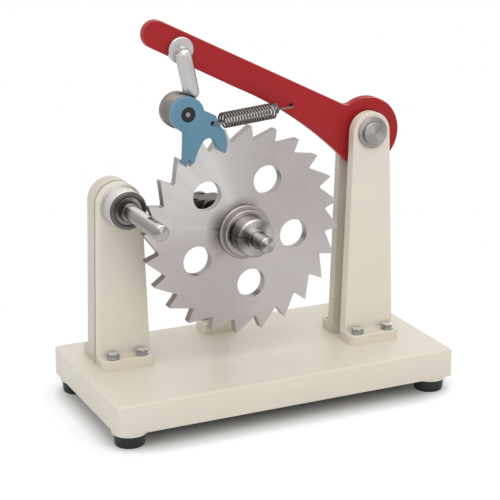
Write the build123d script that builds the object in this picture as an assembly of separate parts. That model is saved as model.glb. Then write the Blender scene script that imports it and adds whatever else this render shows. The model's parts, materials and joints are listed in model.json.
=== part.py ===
"""Bench demonstrator of a ratchet and pawl: a folded tray on rubber feet carries two split
uprights and a rear pillar.  The right upright holds a hand lever with a hanging pawl carrier, the
left upright holds a spindle in a ball bearing, and the pillar holds the shaft of the toothed wheel.

Frame: millimetres, +Z up, +X along the tray towards the lever's pivot, +Y towards the rear.
The origin is on the table, below the middle of the tray.
"""
from math import acos, atan2, cos, degrees, hypot, radians, sin
import os

from build123d import *

# --- tray and feet ---------------------------------------------------------------------------
TRAY_LENGTH = 350.0
TRAY_DEPTH = 178.0
TRAY_HEIGHT = 28.5
SHEET = 2.5
TRAY_CORNER_RADIUS = 6.0
TRAY_EDGE_RADIUS = 4.0
TRAY_LIP = 32.0
FOOT_RADIUS = 15.0
FOOT_TAPER = 1.2
FOOT_HEIGHT = 12.0
FOOT_EDGE = 2.0
FOOT_INSET = 17.0
FOOT_PLATE_RADIUS = 16.8
FOOT_PLATE_THICKNESS = 3.0
FOOT_RECESS_RADIUS = 6.0
FOOT_RECESS_DEPTH = 6.0

# --- brackets --------------------------------------------------------------------------------
PLATE = 10.0
BRACKET_DEPTH = 25.0
BRACKET_CORNER = 6.0
BRACKET_INNER_RADIUS = 1.0
BRACKET_EDGE = 1.2

RIGHT_X = 115.5
RIGHT_Y = -15.5
RIGHT_GAP = 16.5
RIGHT_FOOT_WIDTH = 54.4
RIGHT_TOP_RADIUS = 19.6
RIGHT_BOLT_SPREAD = 33.0

LEFT_X = -129.0
LEFT_Y = 23.0
LEFT_GAP = 3.0
LEFT_BACK_PLATE = 20.0
LEFT_BACK_DEPTH = 35.0
LEFT_FOOT_WIDTH = 52.6
LEFT_TOP_RADIUS = 21.5
LEFT_BOLT_SPREAD = 29.0

# --- fasteners and fits ----------------------------------------------------------------------
BOLT_RADIUS = 3.0
BOLT_HOLE_CLEARANCE = 0.3
BOLT_HEAD_FLATS = 10.0
BOLT_HEAD_HEIGHT = 4.0
BOLT_PROJECTION = 2.5
WASHER_RADIUS = 6.2
WASHER_THICKNESS = 1.6
NUT_HEIGHT = 5.0
BOLT_EDGE_DISTANCE = 7.5
RUNNING_CLEARANCE = 0.05
SIDE_CLEARANCE = 0.2

# --- lever and its pivot ---------------------------------------------------------------------
PIVOT_HEIGHT = 253.5
PIVOT_PIN_RADIUS = 8.0
PIVOT_HEAD_RADIUS = 11.0
PIVOT_HEAD_HEIGHT = 3.6
PIVOT_WASHER_RADIUS = 15.3
PIVOT_WASHER_THICKNESS = 2.5
PIVOT_NUT_FLATS = 24.0
PIVOT_NUT_HEIGHT = 8.0
LEVER_THICKNESS = 9.0
LEVER_FRONT_SETBACK = 5.5
LEVER_END_X = -98.3
LEVER_END_Z = 361.0
LEVER_END_RADIUS = 13.0
LEVER_BELLY = ((-18.0, 305.0), (42.0, 270.3), (87.0, 233.2))
LEVER_HEAD_OFFSET = 3.0
LEVER_HEAD_DROP = 3.0
LEVER_HEAD_RADIUS = 34.5
LEVER_NECK_ANGLE = 127.5
LEVER_NECK_FILLET = 10.0
LEVER_EDGE = 0.8
LEVER_BUSH_WALL = 3.0
SPACER_RADIUS = 14.0

# --- pawl carrier ----------------------------------------------------------------------------
BOSS_X = -76.6
BOSS_Z = 346.0
BOSS_RADIUS = 12.2
BOSS_HEIGHT = 5.0
BOSS_CHAMFER = 1.0
STUD_RADIUS = 4.0
STUD_DEPTH_IN_ROD = 7.0
STUD_NUT_FLATS = 13.0
STUD_NUT_HEIGHT = 6.0
ROD_RADIUS = 7.5
ROD_TOP_X = -76.3
ROD_TOP_Z = 342.0
ROD_END_X = -69.3
ROD_END_Z = 308.4
ROD_LEVER_GAP = 0.5
EYE_NECK_RADIUS = 15.8
EYE_NECK_LENGTH = 11.0
EYE_FLANGE_RADIUS = 17.0
EYE_FLANGE_LENGTH = 9.0
EYE_EDGE = 1.0

# --- pawl ------------------------------------------------------------------------------------
PAWL_X = -79.0
PAWL_Z = 290.8
PAWL_THICKNESS = 8.0
PAWL_WHEEL_GAP = 1.0
PAWL_EYE_RADIUS = 16.0
PAWL_EDGE = 0.7
PAWL_BUSH_RADIUS = 7.0
PAWL_PIN_RADIUS = 2.4
PAWL_PIN_HEAD_RADIUS = 6.0
PAWL_PIN_HEAD_HEIGHT = 3.0
PAWL_PIN_RECESS = 0.6
PAWL_SPACER_RADIUS = 11.0
PAWL_SPACER_THICKNESS = 1.8
PAWL_ARM = ((16.5, 2.2), (27.4, -3.4), (28.6, -6.4), (33.4, -15.6))
PAWL_HOOK_BACK = ((33.4, -15.6), (38.3, -27.0), (37.0, -38.9))
PAWL_HOOK_FRONT = ((35.4, -39.3), (29.6, -33.9), (25.2, -26.0))
PAWL_ARCH = ((25.2, -26.0), (20.6, -23.8), (15.4, -25.4))
PAWL_LEG_BACK = ((15.4, -25.4), (9.6, -34.6), (5.7, -45.2))
PAWL_TOES = ((5.7, -45.2), (2.9, -46.6), (0.2, -41.6), (-2.6, -48.4), (-4.6, -44.4))
PAWL_LEG_FRONT = ((-4.6, -44.4), (-3.9, -32.0), (-3.3, -17.8))
PAWL_HEEL = ((-3.3, -17.8), (-12.0, -10.0), (16.5, 2.2))
HOOK_HOLE_X = -55.2
HOOK_HOLE_Z = 280.6
HOOK_HOLE_RADIUS = 2.2
DOG_WHEEL_OVERHANG = 1.0
DOG_LENGTH = 8.0
DOG_STEEP_GAP = 3.0
DOG_BACK_GAP = 0.35
DOG_SLANT = 6.8

# --- return spring ---------------------------------------------------------------------------
SPRING_RADIUS = 6.6
SPRING_WIRE_RADIUS = 0.92
SPRING_TURNS = 18
SPRING_LEVER_HOLE_X = 35.9
SPRING_LEVER_HOLE_Z = 284.6
SPRING_START = 13.0
SPRING_LENGTH = 56.0
SPRING_LEVER_GAP = 7.5
LOOP_RADIUS = 6.0
LOOP_SETBACK = 0.75
HOOK_PAST_LEVER = 2.0

# --- toothed wheel and its shaft -------------------------------------------------------------
WHEEL_X = -20.5
WHEEL_Z = 171.8
WHEEL_FRONT_Y = -25.0
WHEEL_THICKNESS = 10.0
TEETH = 24
TIP_RADIUS = 100.8
ROOT_RADIUS = 86.5
TIP_ANGLE = 115.0
TIP_LAND_ANGLE = 0.6
STEEP_FACE_ANGLE = 2.0
GULLET_RADIUS = 1.5
HOLES = 5
HOLE_RADIUS = 14.3
HOLE_CIRCLE_RADIUS = 53.0
HOLE_ANGLE = 134.0
HUB_FLANGE_RADIUS = 26.0
HUB_FLANGE_HEIGHT = 4.0
HUB_BASE_RADIUS = 23.0
HUB_BASE_LENGTH = 6.0
HUB_GROOVE_WIDTH = 1.4
HUB_GROOVE_DEPTH = 1.2
HUB_BODY_RADIUS = 18.5
HUB_BODY_CHAMFER = 1.6
HUB_LENGTH = 24.0
HUB_STEP_RADIUS = 10.5
HUB_STEP_HEIGHT = 5.0
HUB_SPIGOT_RADIUS = 13.0
HUB_NUT_RADIUS = 20.0
HUB_NUT_HEIGHT = 6.0
SHAFT_RADIUS = 8.0
SHAFT_NOSE_RADIUS = 7.5
SHAFT_NOSE_LENGTH = 20.5
SHAFT_CHAMFER = 1.0
KEY_WIDTH = 4.0
KEY_HEIGHT = 4.0
KEY_LENGTH = 18.0

# --- rear pillar and its bearing block -------------------------------------------------------
PILLAR_FRONT_Y = 54.0
PILLAR_DEPTH = 28.0
PILLAR_WIDTH = 18.0
PILLAR_OFFSET = 11.0
PILLAR_FOOT_WIDTH = 36.0
PILLAR_HEAD_HEIGHT = 14.0
PILLAR_BOLT_SPREAD = 20.0
BLOCK_WIDTH = 40.0
BLOCK_BELOW_AXIS = 13.0
BLOCK_ABOVE_AXIS = 12.0
BLOCK_LENGTH = 22.0
BLOCK_CORNER = 7.0
BLOCK_SCREW_SPREAD = 29.0
BLOCK_SCREW_RADIUS = 2.5
BLOCK_SCREW_HEAD_RADIUS = 4.25
BLOCK_SCREW_HEAD_HEIGHT = 5.0
BLOCK_SCREW_BITE = 9.0
BUSH_WALL = 2.0
COLLAR_RADIUS = 13.0
COLLAR_WIDTH = 7.0

# --- spindle and its ball bearing ------------------------------------------------------------
SPINDLE_HEIGHT = 200.3
SPINDLE_RADIUS = 7.5
SPINDLE_FRONT_Y = -89.0
SPINDLE_SHOULDER_RADIUS = 9.2
SPINDLE_SHOULDER_LENGTH = 4.0
SPINDLE_SLOT_WIDTH = 5.0
SPINDLE_SLOT_DEPTH = 2.4
SPINDLE_SLOT_LENGTH = 22.0
SPINDLE_SLOT_SETBACK = 9.0
HOUSING_RADIUS = 18.8
HOUSING_LENGTH = 19.0
HOUSING_CHAMFER = 0.8
HOUSING_FLANGE_RADIUS = 20.6
HOUSING_FLANGE_HEIGHT = 3.0
HOUSING_SPIGOT_RADIUS = 17.0
HOUSING_THROAT_RADIUS = 12.0
BEARING_OUTER_RADIUS = 17.5
BEARING_WIDTH = 11.0
BEARING_PROJECTION = 3.0
BEARING_EDGE = 0.6
OUTER_RACE_RADIUS = 14.3
INNER_RACE_RADIUS = 9.5
BALLS = 9
BALL_RADIUS = 2.2
RACE_CLEARANCE = 0.3
SHIELD_THICKNESS = 0.7
SHIELD_SETBACK = 1.1
CLIP_THICKNESS = 0.8
CLIP_WIDTH = 1.0
BACK_BUSH_FLANGE_RADIUS = 12.5
BACK_BUSH_FLANGE_HEIGHT = 2.0

# --- heights and planes that follow ----------------------------------------------------------
TRAY_BOTTOM = FOOT_HEIGHT + FOOT_PLATE_THICKNESS
TRAY_TOP = TRAY_BOTTOM + TRAY_HEIGHT
LEVER_FRONT_Y = RIGHT_Y + LEVER_FRONT_SETBACK
LEVER_BACK_Y = LEVER_FRONT_Y + LEVER_THICKNESS
RIGHT_BACK_Y = RIGHT_Y + RIGHT_GAP
LEFT_FRONT_Y = LEFT_Y - PLATE
LEFT_BACK_Y = LEFT_Y + LEFT_GAP
WHEEL_BACK_Y = WHEEL_FRONT_Y + WHEEL_THICKNESS
PAWL_BACK_Y = WHEEL_FRONT_Y - PAWL_WHEEL_GAP
PAWL_FRONT_Y = PAWL_BACK_Y - PAWL_THICKNESS
ROD_Y = LEVER_FRONT_Y - ROD_LEVER_GAP - ROD_RADIUS
EYE_FRONT_Y = PAWL_BACK_Y + PAWL_SPACER_THICKNESS + SIDE_CLEARANCE
EYE_STEP_Y = EYE_FRONT_Y + EYE_NECK_LENGTH
EYE_BACK_Y = EYE_STEP_Y + EYE_FLANGE_LENGTH
HOUSING_FRONT_Y = LEFT_FRONT_Y - HOUSING_LENGTH
BEARING_FRONT_Y = HOUSING_FRONT_Y - BEARING_PROJECTION
BEARING_BACK_Y = BEARING_FRONT_Y + BEARING_WIDTH
HUB_FRONT_Y = WHEEL_FRONT_Y - HUB_FLANGE_HEIGHT - HUB_LENGTH
SHAFT_FRONT_Y = HUB_FRONT_Y - HUB_STEP_HEIGHT + SHAFT_CHAMFER - SHAFT_NOSE_LENGTH
BLOCK_BACK_Y = PILLAR_FRONT_Y + BLOCK_LENGTH
PILLAR_X = WHEEL_X + PILLAR_OFFSET
PILLAR_TOP = WHEEL_Z - BLOCK_BELOW_AXIS
BOLT_HOLE_RADIUS = BOLT_RADIUS + BOLT_HOLE_CLEARANCE


def rod_y(radius, y_from, y_to, x=0.0, z=0.0):
    """A round bar along Y, from y_from to y_to, about the axis through (x, z)."""
    bar = Cylinder(radius, y_to - y_from, align=(Align.CENTER, Align.CENTER, Align.MIN))
    return Pos(x, y_from, z) * Rot(-90, 0, 0) * bar


def ring_y(outer, inner, y_from, y_to, x=0.0, z=0.0):
    """A round ring along Y."""
    return rod_y(outer, y_from, y_to, x, z) - rod_y(inner, y_from - 1, y_to + 1, x, z)


def rod_z(radius, z_from, z_to, x=0.0, y=0.0):
    """A round bar along Z."""
    bar = Cylinder(radius, z_to - z_from, align=(Align.CENTER, Align.CENTER, Align.MIN))
    return Pos(x, y, z_from) * bar


def hex_z(flats, z_from, z_to, x=0.0, y=0.0):
    """A hexagonal prism along Z with the given width across its flats."""
    section = RegularPolygon(flats / 2, 6, major_radius=False)
    return Pos(x, y, z_from) * extrude(section, z_to - z_from)


def plate_y(outline, y_front, y_back):
    """An outline drawn in X and Z, given thickness from y_front to y_back."""
    return extrude(Plane.XZ.offset(-y_back) * outline, y_back - y_front)


def hex_y(flats, y_from, y_to, x, z):
    """A hexagonal prism along Y."""
    return plate_y(Pos(x, z) * RegularPolygon(flats / 2, 6, major_radius=False), y_from, y_to)


def chamfer_rim(solid, radius, y, size):
    """Chamfer the round edge of the given radius that lies in the plane y."""
    rim = [
        edge
        for edge in solid.edges().filter_by(GeomType.CIRCLE)
        if abs(edge.radius - radius) < 1e-3 and abs(edge.center().Y - y) < 1e-3
    ]
    return chamfer(rim, size)


# --- tray and feet ---------------------------------------------------------------------------
def bracket_bolt_places():
    """Every place (x, y) where a bolt goes down through a bracket's foot and the tray."""
    places = []
    for x, spread, y_front, y_back, back_depth in (
        (RIGHT_X, RIGHT_BOLT_SPREAD, RIGHT_Y, RIGHT_BACK_Y, BRACKET_DEPTH),
        (LEFT_X, LEFT_BOLT_SPREAD, LEFT_Y, LEFT_BACK_Y, LEFT_BACK_DEPTH),
    ):
        for side in (-1, 1):
            bolt_x = x + side * spread / 2
            places.append((bolt_x, y_front - BRACKET_DEPTH + BOLT_EDGE_DISTANCE))
            places.append((bolt_x, y_back + back_depth - BOLT_EDGE_DISTANCE))
    for side in (-1, 1):
        places.append((PILLAR_X + side * PILLAR_BOLT_SPREAD / 2, pillar_bolt_y()))
    return places


def pillar_bolt_y():
    """The middle of the pillar's foot, behind its plate."""
    return PILLAR_FRONT_Y + (PLATE + PILLAR_DEPTH) / 2


def foot_places():
    """The four foot centres, by name."""
    x, y = TRAY_LENGTH / 2 - FOOT_INSET, TRAY_DEPTH / 2 - FOOT_INSET
    return {
        "front_left": (-x, -y),
        "front_right": (x, -y),
        "back_left": (-x, y),
        "back_right": (x, y),
    }


def rounded_block(length, depth, height, corner, edge):
    """A block standing on Z 0 with round upright corners and a round top edge."""
    block = extrude(RectangleRounded(length, depth, corner), height)
    return fillet(block.faces().sort_by(Axis.Z)[-1].edges(), edge)


def base_tray():
    """Folded sheet tray: closed on top, with an inward lip all round below."""
    outer = rounded_block(TRAY_LENGTH, TRAY_DEPTH, TRAY_HEIGHT, TRAY_CORNER_RADIUS, TRAY_EDGE_RADIUS)
    inner = rounded_block(
        TRAY_LENGTH - 2 * SHEET,
        TRAY_DEPTH - 2 * SHEET,
        TRAY_HEIGHT - 2 * SHEET,
        TRAY_CORNER_RADIUS - SHEET,
        TRAY_EDGE_RADIUS - SHEET,
    )
    mouth = extrude(
        RectangleRounded(TRAY_LENGTH - 2 * TRAY_LIP, TRAY_DEPTH - 2 * TRAY_LIP, TRAY_CORNER_RADIUS), SHEET
    )
    tray = Pos(0, 0, TRAY_BOTTOM) * (outer - Pos(0, 0, SHEET) * inner - mouth)
    for x, y in bracket_bolt_places():
        tray -= rod_z(BOLT_HOLE_RADIUS, TRAY_TOP - SHEET - 1, TRAY_TOP + 1, x, y)
    for x, y in foot_places().values():
        tray -= rod_z(BOLT_HOLE_RADIUS, TRAY_BOTTOM - 1, TRAY_BOTTOM + SHEET + 1, x, y)
    return tray


def rubber_foot(x, y):
    """Tapered rubber foot with a recess for its screw."""
    foot = Pos(0, 0, FOOT_HEIGHT / 2) * Cone(FOOT_RADIUS - FOOT_TAPER, FOOT_RADIUS, FOOT_HEIGHT)
    foot = fillet(foot.faces().sort_by(Axis.Z)[0].edges(), FOOT_EDGE)
    foot -= rod_z(FOOT_RECESS_RADIUS, -1, FOOT_RECESS_DEPTH)
    foot -= rod_z(BOLT_HOLE_RADIUS, 0, FOOT_HEIGHT + 1)
    return Pos(x, y, 0) * foot


def foot_plate(x, y):
    """Round metal plate between a foot and the tray."""
    disc = rod_z(FOOT_PLATE_RADIUS, FOOT_HEIGHT, TRAY_BOTTOM, x, y)
    return disc - rod_z(BOLT_HOLE_RADIUS, FOOT_HEIGHT - 1, TRAY_BOTTOM + 1, x, y)


def foot_screw(x, y):
    """Screw that holds a foot, with its head up in the foot's recess."""
    head_bottom = FOOT_RECESS_DEPTH - BOLT_HEAD_HEIGHT
    head = rod_z(BOLT_HEAD_FLATS / 2, head_bottom, FOOT_RECESS_DEPTH, x, y)
    return head + rod_z(BOLT_RADIUS, head_bottom + 1, foot_nut_top() + BOLT_PROJECTION, x, y)


def foot_nut_top():
    """Height of the top of the nuts on the tray's lip."""
    return TRAY_BOTTOM + SHEET + NUT_HEIGHT


def foot_nut(x, y):
    """Hexagonal nut on the tray's lip."""
    nut = hex_z(BOLT_HEAD_FLATS, TRAY_BOTTOM + SHEET, foot_nut_top(), x, y)
    return nut - rod_z(BOLT_RADIUS, TRAY_BOTTOM, foot_nut_top() + 1, x, y)


# --- brackets --------------------------------------------------------------------------------
def bracket_outline(foot_width, top_radius, axis_height):
    """Plate outline: a flat foot, straight tapering sides and a round top about the axis."""
    top = Pos(0, axis_height) * Circle(top_radius)
    foot = Line((-foot_width / 2, 0), (foot_width / 2, 0))
    return make_hull(top.edges() + foot.edges())


def bracket_foot(foot_width, y_inner, direction, depth=BRACKET_DEPTH):
    """Foot flange with rounded outer corners and a softened top edge."""
    foot = Pos(0, y_inner + direction * depth / 2, PLATE / 2) * Box(foot_width, depth, PLATE)
    outer_y = y_inner + direction * depth
    corners = [e for e in foot.edges().filter_by(Axis.Z) if abs(e.center().Y - outer_y) < 1e-3]
    foot = fillet(corners, BRACKET_CORNER)
    top = foot.faces().sort_by(Axis.Z)[-1].edges()
    rim = [e for e in top if abs(e.center().Y - outer_y) < BRACKET_CORNER]
    return fillet(rim, BRACKET_EDGE)


def bracket(
    x, y_inner, direction, foot_width, top_radius, axis_height, bore, bolt_spread,
    thickness=PLATE, depth=BRACKET_DEPTH,
):
    """One angle bracket.  y_inner is its flat back, and the foot points towards direction on Y."""
    root_y = y_inner + direction * thickness
    y_plate = sorted((y_inner, root_y))
    plate = plate_y(bracket_outline(foot_width, top_radius, axis_height), *y_plate)
    rim = [e for e in plate.edges() if abs(e.center().Y - root_y) < 1e-3 and e.center().Z > 1]
    plate = fillet(rim, BRACKET_EDGE)
    body = plate + bracket_foot(foot_width, y_inner, direction, depth)
    body = fillet(root_edge(body, root_y), BRACKET_INNER_RADIUS)
    body -= rod_y(bore, y_plate[0] - 1, y_plate[1] + 1, 0, axis_height)
    bolt_y = y_inner + direction * (depth - BOLT_EDGE_DISTANCE)
    for side in (-1, 1):
        body -= rod_z(BOLT_HOLE_RADIUS, -1, PLATE + 1, side * bolt_spread / 2, bolt_y)
    return Pos(x, 0, TRAY_TOP) * body


def root_edge(body, root_y):
    """The inner corner between a bracket's plate and the top of its foot."""
    return [
        e
        for e in body.edges().filter_by(Axis.X)
        if abs(e.center().Y - root_y) < 1e-3 and abs(e.center().Z - PLATE) < 1e-3
    ]


def right_bracket(front):
    """Bracket of the lever's upright."""
    y_inner, direction = (RIGHT_Y, -1) if front else (RIGHT_BACK_Y, 1)
    return bracket(
        RIGHT_X, y_inner, direction, RIGHT_FOOT_WIDTH, RIGHT_TOP_RADIUS,
        PIVOT_HEIGHT - TRAY_TOP, PIVOT_PIN_RADIUS, RIGHT_BOLT_SPREAD,
    )


def left_bracket(front):
    """Bracket of the spindle's upright; the rear one has the thicker plate."""
    y_inner, direction = (LEFT_Y, -1) if front else (LEFT_BACK_Y, 1)
    bore = HOUSING_SPIGOT_RADIUS if front else SPINDLE_RADIUS + BUSH_WALL
    thickness = PLATE if front else LEFT_BACK_PLATE
    depth = BRACKET_DEPTH if front else LEFT_BACK_DEPTH
    return bracket(
        LEFT_X, y_inner, direction, LEFT_FOOT_WIDTH, LEFT_TOP_RADIUS,
        SPINDLE_HEIGHT - TRAY_TOP, bore, LEFT_BOLT_SPREAD, thickness, depth,
    )


def bracket_washer(x, y):
    """Plain washer on a bracket's foot."""
    washer = rod_z(WASHER_RADIUS, TRAY_TOP + PLATE, TRAY_TOP + PLATE + WASHER_THICKNESS, x, y)
    return washer - rod_z(BOLT_HOLE_RADIUS, TRAY_TOP, TRAY_TOP + 2 * PLATE, x, y)


def bracket_bolt(x, y):
    """Hexagon bolt down through washer, bracket and tray."""
    head_bottom = TRAY_TOP + PLATE + WASHER_THICKNESS
    head = hex_z(BOLT_HEAD_FLATS, head_bottom, head_bottom + BOLT_HEAD_HEIGHT, x, y)
    return head + rod_z(BOLT_RADIUS, bracket_nut_bottom() - BOLT_PROJECTION, head_bottom + 1, x, y)


def bracket_nut_bottom():
    """Height of the underside of the nuts below the tray's top sheet."""
    return TRAY_TOP - SHEET - NUT_HEIGHT


def bracket_nut(x, y):
    """Hexagonal nut under the tray's top sheet."""
    nut = hex_z(BOLT_HEAD_FLATS, bracket_nut_bottom(), TRAY_TOP - SHEET, x, y)
    return nut - rod_z(BOLT_RADIUS, bracket_nut_bottom() - 1, TRAY_TOP, x, y)


# --- lever and its pivot ---------------------------------------------------------------------
def tangent_point(centre, radius, target, side):
    """Where the line from target touches a circle, on the side given by +1 or -1."""
    run, rise = target[0] - centre[0], target[1] - centre[1]
    return on_circle(centre, radius, degrees(atan2(rise, run) + side * acos(radius / hypot(run, rise))))


def on_circle(centre, radius, angle):
    """The point of a circle at an angle in degrees."""
    return centre[0] + radius * cos(radians(angle)), centre[1] + radius * sin(radians(angle))


def lever_outline():
    """Arm with a round end, a straight back, a bellied underside and a large round head."""
    end = (LEVER_END_X, LEVER_END_Z)
    head = (RIGHT_X + LEVER_HEAD_OFFSET, PIVOT_HEIGHT - LEVER_HEAD_DROP)
    neck = on_circle(head, LEVER_HEAD_RADIUS, LEVER_NECK_ANGLE)
    upper = tangent_point(end, LEVER_END_RADIUS, neck, 1)
    lower = tangent_point(end, LEVER_END_RADIUS, LEVER_BELLY[0], -1)
    chin = tangent_point(head, LEVER_HEAD_RADIUS, LEVER_BELLY[2], 1)
    outline = make_face(Wire([
        Line(upper, neck),
        ThreePointArc(neck, on_circle(head, LEVER_HEAD_RADIUS, 0), chin),
        Line(chin, LEVER_BELLY[2]),
        ThreePointArc(*reversed(LEVER_BELLY)),
        Line(LEVER_BELLY[0], lower),
        ThreePointArc(lower, on_circle(end, LEVER_END_RADIUS, 180), upper),
    ]))
    corner = outline.vertices().sort_by_distance((*neck, 0))[0]
    return fillet(corner, LEVER_NECK_FILLET)


def lever_arm():
    """Flat lever with the bore of its bush, the stud's hole and the spring's hole."""
    arm = plate_y(lever_outline(), LEVER_FRONT_Y, LEVER_BACK_Y)
    rims = arm.faces().filter_by(Axis.Y)
    arm = fillet([edge for face in rims for edge in face.edges()], LEVER_EDGE)
    bore = PIVOT_PIN_RADIUS + LEVER_BUSH_WALL
    arm -= rod_y(bore, LEVER_FRONT_Y - 1, LEVER_BACK_Y + 1, RIGHT_X, PIVOT_HEIGHT)
    arm -= rod_y(STUD_RADIUS, LEVER_FRONT_Y - 1, LEVER_BACK_Y + 1, BOSS_X, BOSS_Z)
    arm -= rod_y(
        HOOK_HOLE_RADIUS, LEVER_FRONT_Y - 1, LEVER_BACK_Y + 1, SPRING_LEVER_HOLE_X, SPRING_LEVER_HOLE_Z
    )
    return arm


def lever_bush():
    """Bronze bush pressed in the lever's head, running on the pivot pin."""
    outer = PIVOT_PIN_RADIUS + LEVER_BUSH_WALL
    inner = PIVOT_PIN_RADIUS + RUNNING_CLEARANCE
    return ring_y(outer, inner, LEVER_FRONT_Y, LEVER_BACK_Y, RIGHT_X, PIVOT_HEIGHT)


def pivot_pin():
    """Headed pin fixed in both plates of the right upright."""
    face = RIGHT_Y - PLATE - PIVOT_WASHER_THICKNESS
    head = rod_y(PIVOT_HEAD_RADIUS, face - PIVOT_HEAD_HEIGHT, face, RIGHT_X, PIVOT_HEIGHT)
    head = chamfer_rim(head, PIVOT_HEAD_RADIUS, face - PIVOT_HEAD_HEIGHT, SHAFT_CHAMFER)
    back = pivot_nut_back() + BOLT_PROJECTION
    return head + rod_y(PIVOT_PIN_RADIUS, face - 1, back, RIGHT_X, PIVOT_HEIGHT)


def pivot_nut_back():
    """Rear face of the nut on the pivot pin."""
    return RIGHT_BACK_Y + PLATE + PIVOT_WASHER_THICKNESS + PIVOT_NUT_HEIGHT


def pivot_washer(front):
    """Large washer under the pin's head or its nut."""
    y = RIGHT_Y - PLATE - PIVOT_WASHER_THICKNESS if front else RIGHT_BACK_Y + PLATE
    return ring_y(
        PIVOT_WASHER_RADIUS, PIVOT_PIN_RADIUS, y, y + PIVOT_WASHER_THICKNESS, RIGHT_X, PIVOT_HEIGHT
    )


def pivot_nut():
    """Nut on the rear end of the pivot pin."""
    y = pivot_nut_back()
    nut = hex_y(PIVOT_NUT_FLATS, y - PIVOT_NUT_HEIGHT, y, RIGHT_X, PIVOT_HEIGHT)
    return nut - rod_y(PIVOT_PIN_RADIUS, y - PIVOT_NUT_HEIGHT - 1, y + 1, RIGHT_X, PIVOT_HEIGHT)


def lever_spacer(front):
    """Ring on the pivot pin that centres the lever between the plates."""
    if front:
        y_from, y_to = RIGHT_Y, LEVER_FRONT_Y - SIDE_CLEARANCE
    else:
        y_from, y_to = LEVER_BACK_Y + SIDE_CLEARANCE, RIGHT_BACK_Y
    return ring_y(SPACER_RADIUS, PIVOT_PIN_RADIUS, y_from, y_to, RIGHT_X, PIVOT_HEIGHT)


# --- pawl carrier ----------------------------------------------------------------------------
def lever_boss():
    """Round boss on the lever's front face, the seat of the carrier rod."""
    front = LEVER_FRONT_Y - BOSS_HEIGHT
    boss = rod_y(BOSS_RADIUS, front, LEVER_FRONT_Y, BOSS_X, BOSS_Z)
    boss = chamfer_rim(boss, BOSS_RADIUS, front, BOSS_CHAMFER)
    return boss - rod_y(STUD_RADIUS, front - 1, LEVER_FRONT_Y + 1, BOSS_X, BOSS_Z)


def carrier_stud():
    """Stud from the rod, through boss and lever, to the nut behind."""
    front = LEVER_FRONT_Y - BOSS_HEIGHT - STUD_DEPTH_IN_ROD
    back = LEVER_BACK_Y + STUD_NUT_HEIGHT + BOLT_PROJECTION
    return rod_y(STUD_RADIUS, front, back, BOSS_X, BOSS_Z)


def carrier_nut():
    """Nut on the stud behind the lever."""
    nut = hex_y(STUD_NUT_FLATS, LEVER_BACK_Y, LEVER_BACK_Y + STUD_NUT_HEIGHT, BOSS_X, BOSS_Z)
    return nut - rod_y(STUD_RADIUS, LEVER_BACK_Y - 1, LEVER_BACK_Y + 2 * STUD_NUT_HEIGHT, BOSS_X, BOSS_Z)


def carrier_rod():
    """Hanging rod with round ends, made in one with the stepped eye that holds the pawl's pin."""
    top = Vector(ROD_TOP_X, ROD_Y, ROD_TOP_Z)
    end = Vector(ROD_END_X, ROD_Y, ROD_END_Z)
    bar = Cylinder(ROD_RADIUS, (end - top).length, align=(Align.CENTER, Align.CENTER, Align.MIN))
    rod = Plane(origin=top, z_dir=end - top) * bar
    rod += Pos(*top) * Sphere(ROD_RADIUS)
    rod += Pos(*end) * Sphere(ROD_RADIUS)
    rod += rod_y(EYE_NECK_RADIUS, EYE_FRONT_Y, EYE_STEP_Y + 1, PAWL_X, PAWL_Z)
    flange = rod_y(EYE_FLANGE_RADIUS, EYE_STEP_Y, EYE_BACK_Y, PAWL_X, PAWL_Z)
    for y in (EYE_STEP_Y, EYE_BACK_Y):
        flange = chamfer_rim(flange, EYE_FLANGE_RADIUS, y, EYE_EDGE)
    rod += flange
    seat = rod_y(BOSS_RADIUS + ROD_RADIUS, LEVER_FRONT_Y - BOSS_HEIGHT, LEVER_BACK_Y, BOSS_X, BOSS_Z)
    rod -= seat
    stud_front = LEVER_FRONT_Y - BOSS_HEIGHT - STUD_DEPTH_IN_ROD
    rod -= rod_y(STUD_RADIUS, stud_front, LEVER_FRONT_Y, BOSS_X, BOSS_Z)
    return rod - rod_y(PAWL_PIN_RADIUS, EYE_FRONT_Y - 1, EYE_BACK_Y + 1, PAWL_X, PAWL_Z)


def pawl_pin():
    """Headed pin, fixed in the carrier's eye, that the pawl turns on."""
    front = PAWL_FRONT_Y + PAWL_PIN_RECESS
    pin = rod_y(PAWL_PIN_RADIUS, front, EYE_BACK_Y + 1, PAWL_X, PAWL_Z)
    return pin + rod_y(PAWL_PIN_HEAD_RADIUS, EYE_BACK_Y, EYE_BACK_Y + PAWL_PIN_HEAD_HEIGHT, PAWL_X, PAWL_Z)


# --- pawl ------------------------------------------------------------------------------------
def pawl_outline():
    """Round eye, spring arm, curved rear hook and a notched front leg, drawn about the pin."""
    rim = Wire([
        *Polyline(*PAWL_ARM).edges(),
        ThreePointArc(*PAWL_HOOK_BACK),
        Line(PAWL_HOOK_BACK[-1], PAWL_HOOK_FRONT[0]),
        ThreePointArc(*PAWL_HOOK_FRONT),
        ThreePointArc(*PAWL_ARCH),
        ThreePointArc(*PAWL_LEG_BACK),
        *Polyline(*PAWL_TOES).edges(),
        ThreePointArc(*PAWL_LEG_FRONT),
        *Polyline(*PAWL_HEEL).edges(),
    ])
    return make_face(rim) + Circle(PAWL_EYE_RADIUS)


def pawl_plate():
    """Flat pawl that swings in front of the wheel's face."""
    plate = plate_y(Pos(PAWL_X, PAWL_Z) * pawl_outline(), PAWL_FRONT_Y, PAWL_BACK_Y)
    face = plate.faces().sort_by(Axis.Y)[0]
    plate = chamfer(face.outer_wire().edges(), PAWL_EDGE)
    plate -= rod_y(PAWL_BUSH_RADIUS, PAWL_FRONT_Y - 1, PAWL_BACK_Y + 1, PAWL_X, PAWL_Z)
    return plate - rod_y(HOOK_HOLE_RADIUS, PAWL_FRONT_Y - 1, PAWL_BACK_Y + 1, HOOK_HOLE_X, HOOK_HOLE_Z)


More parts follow.
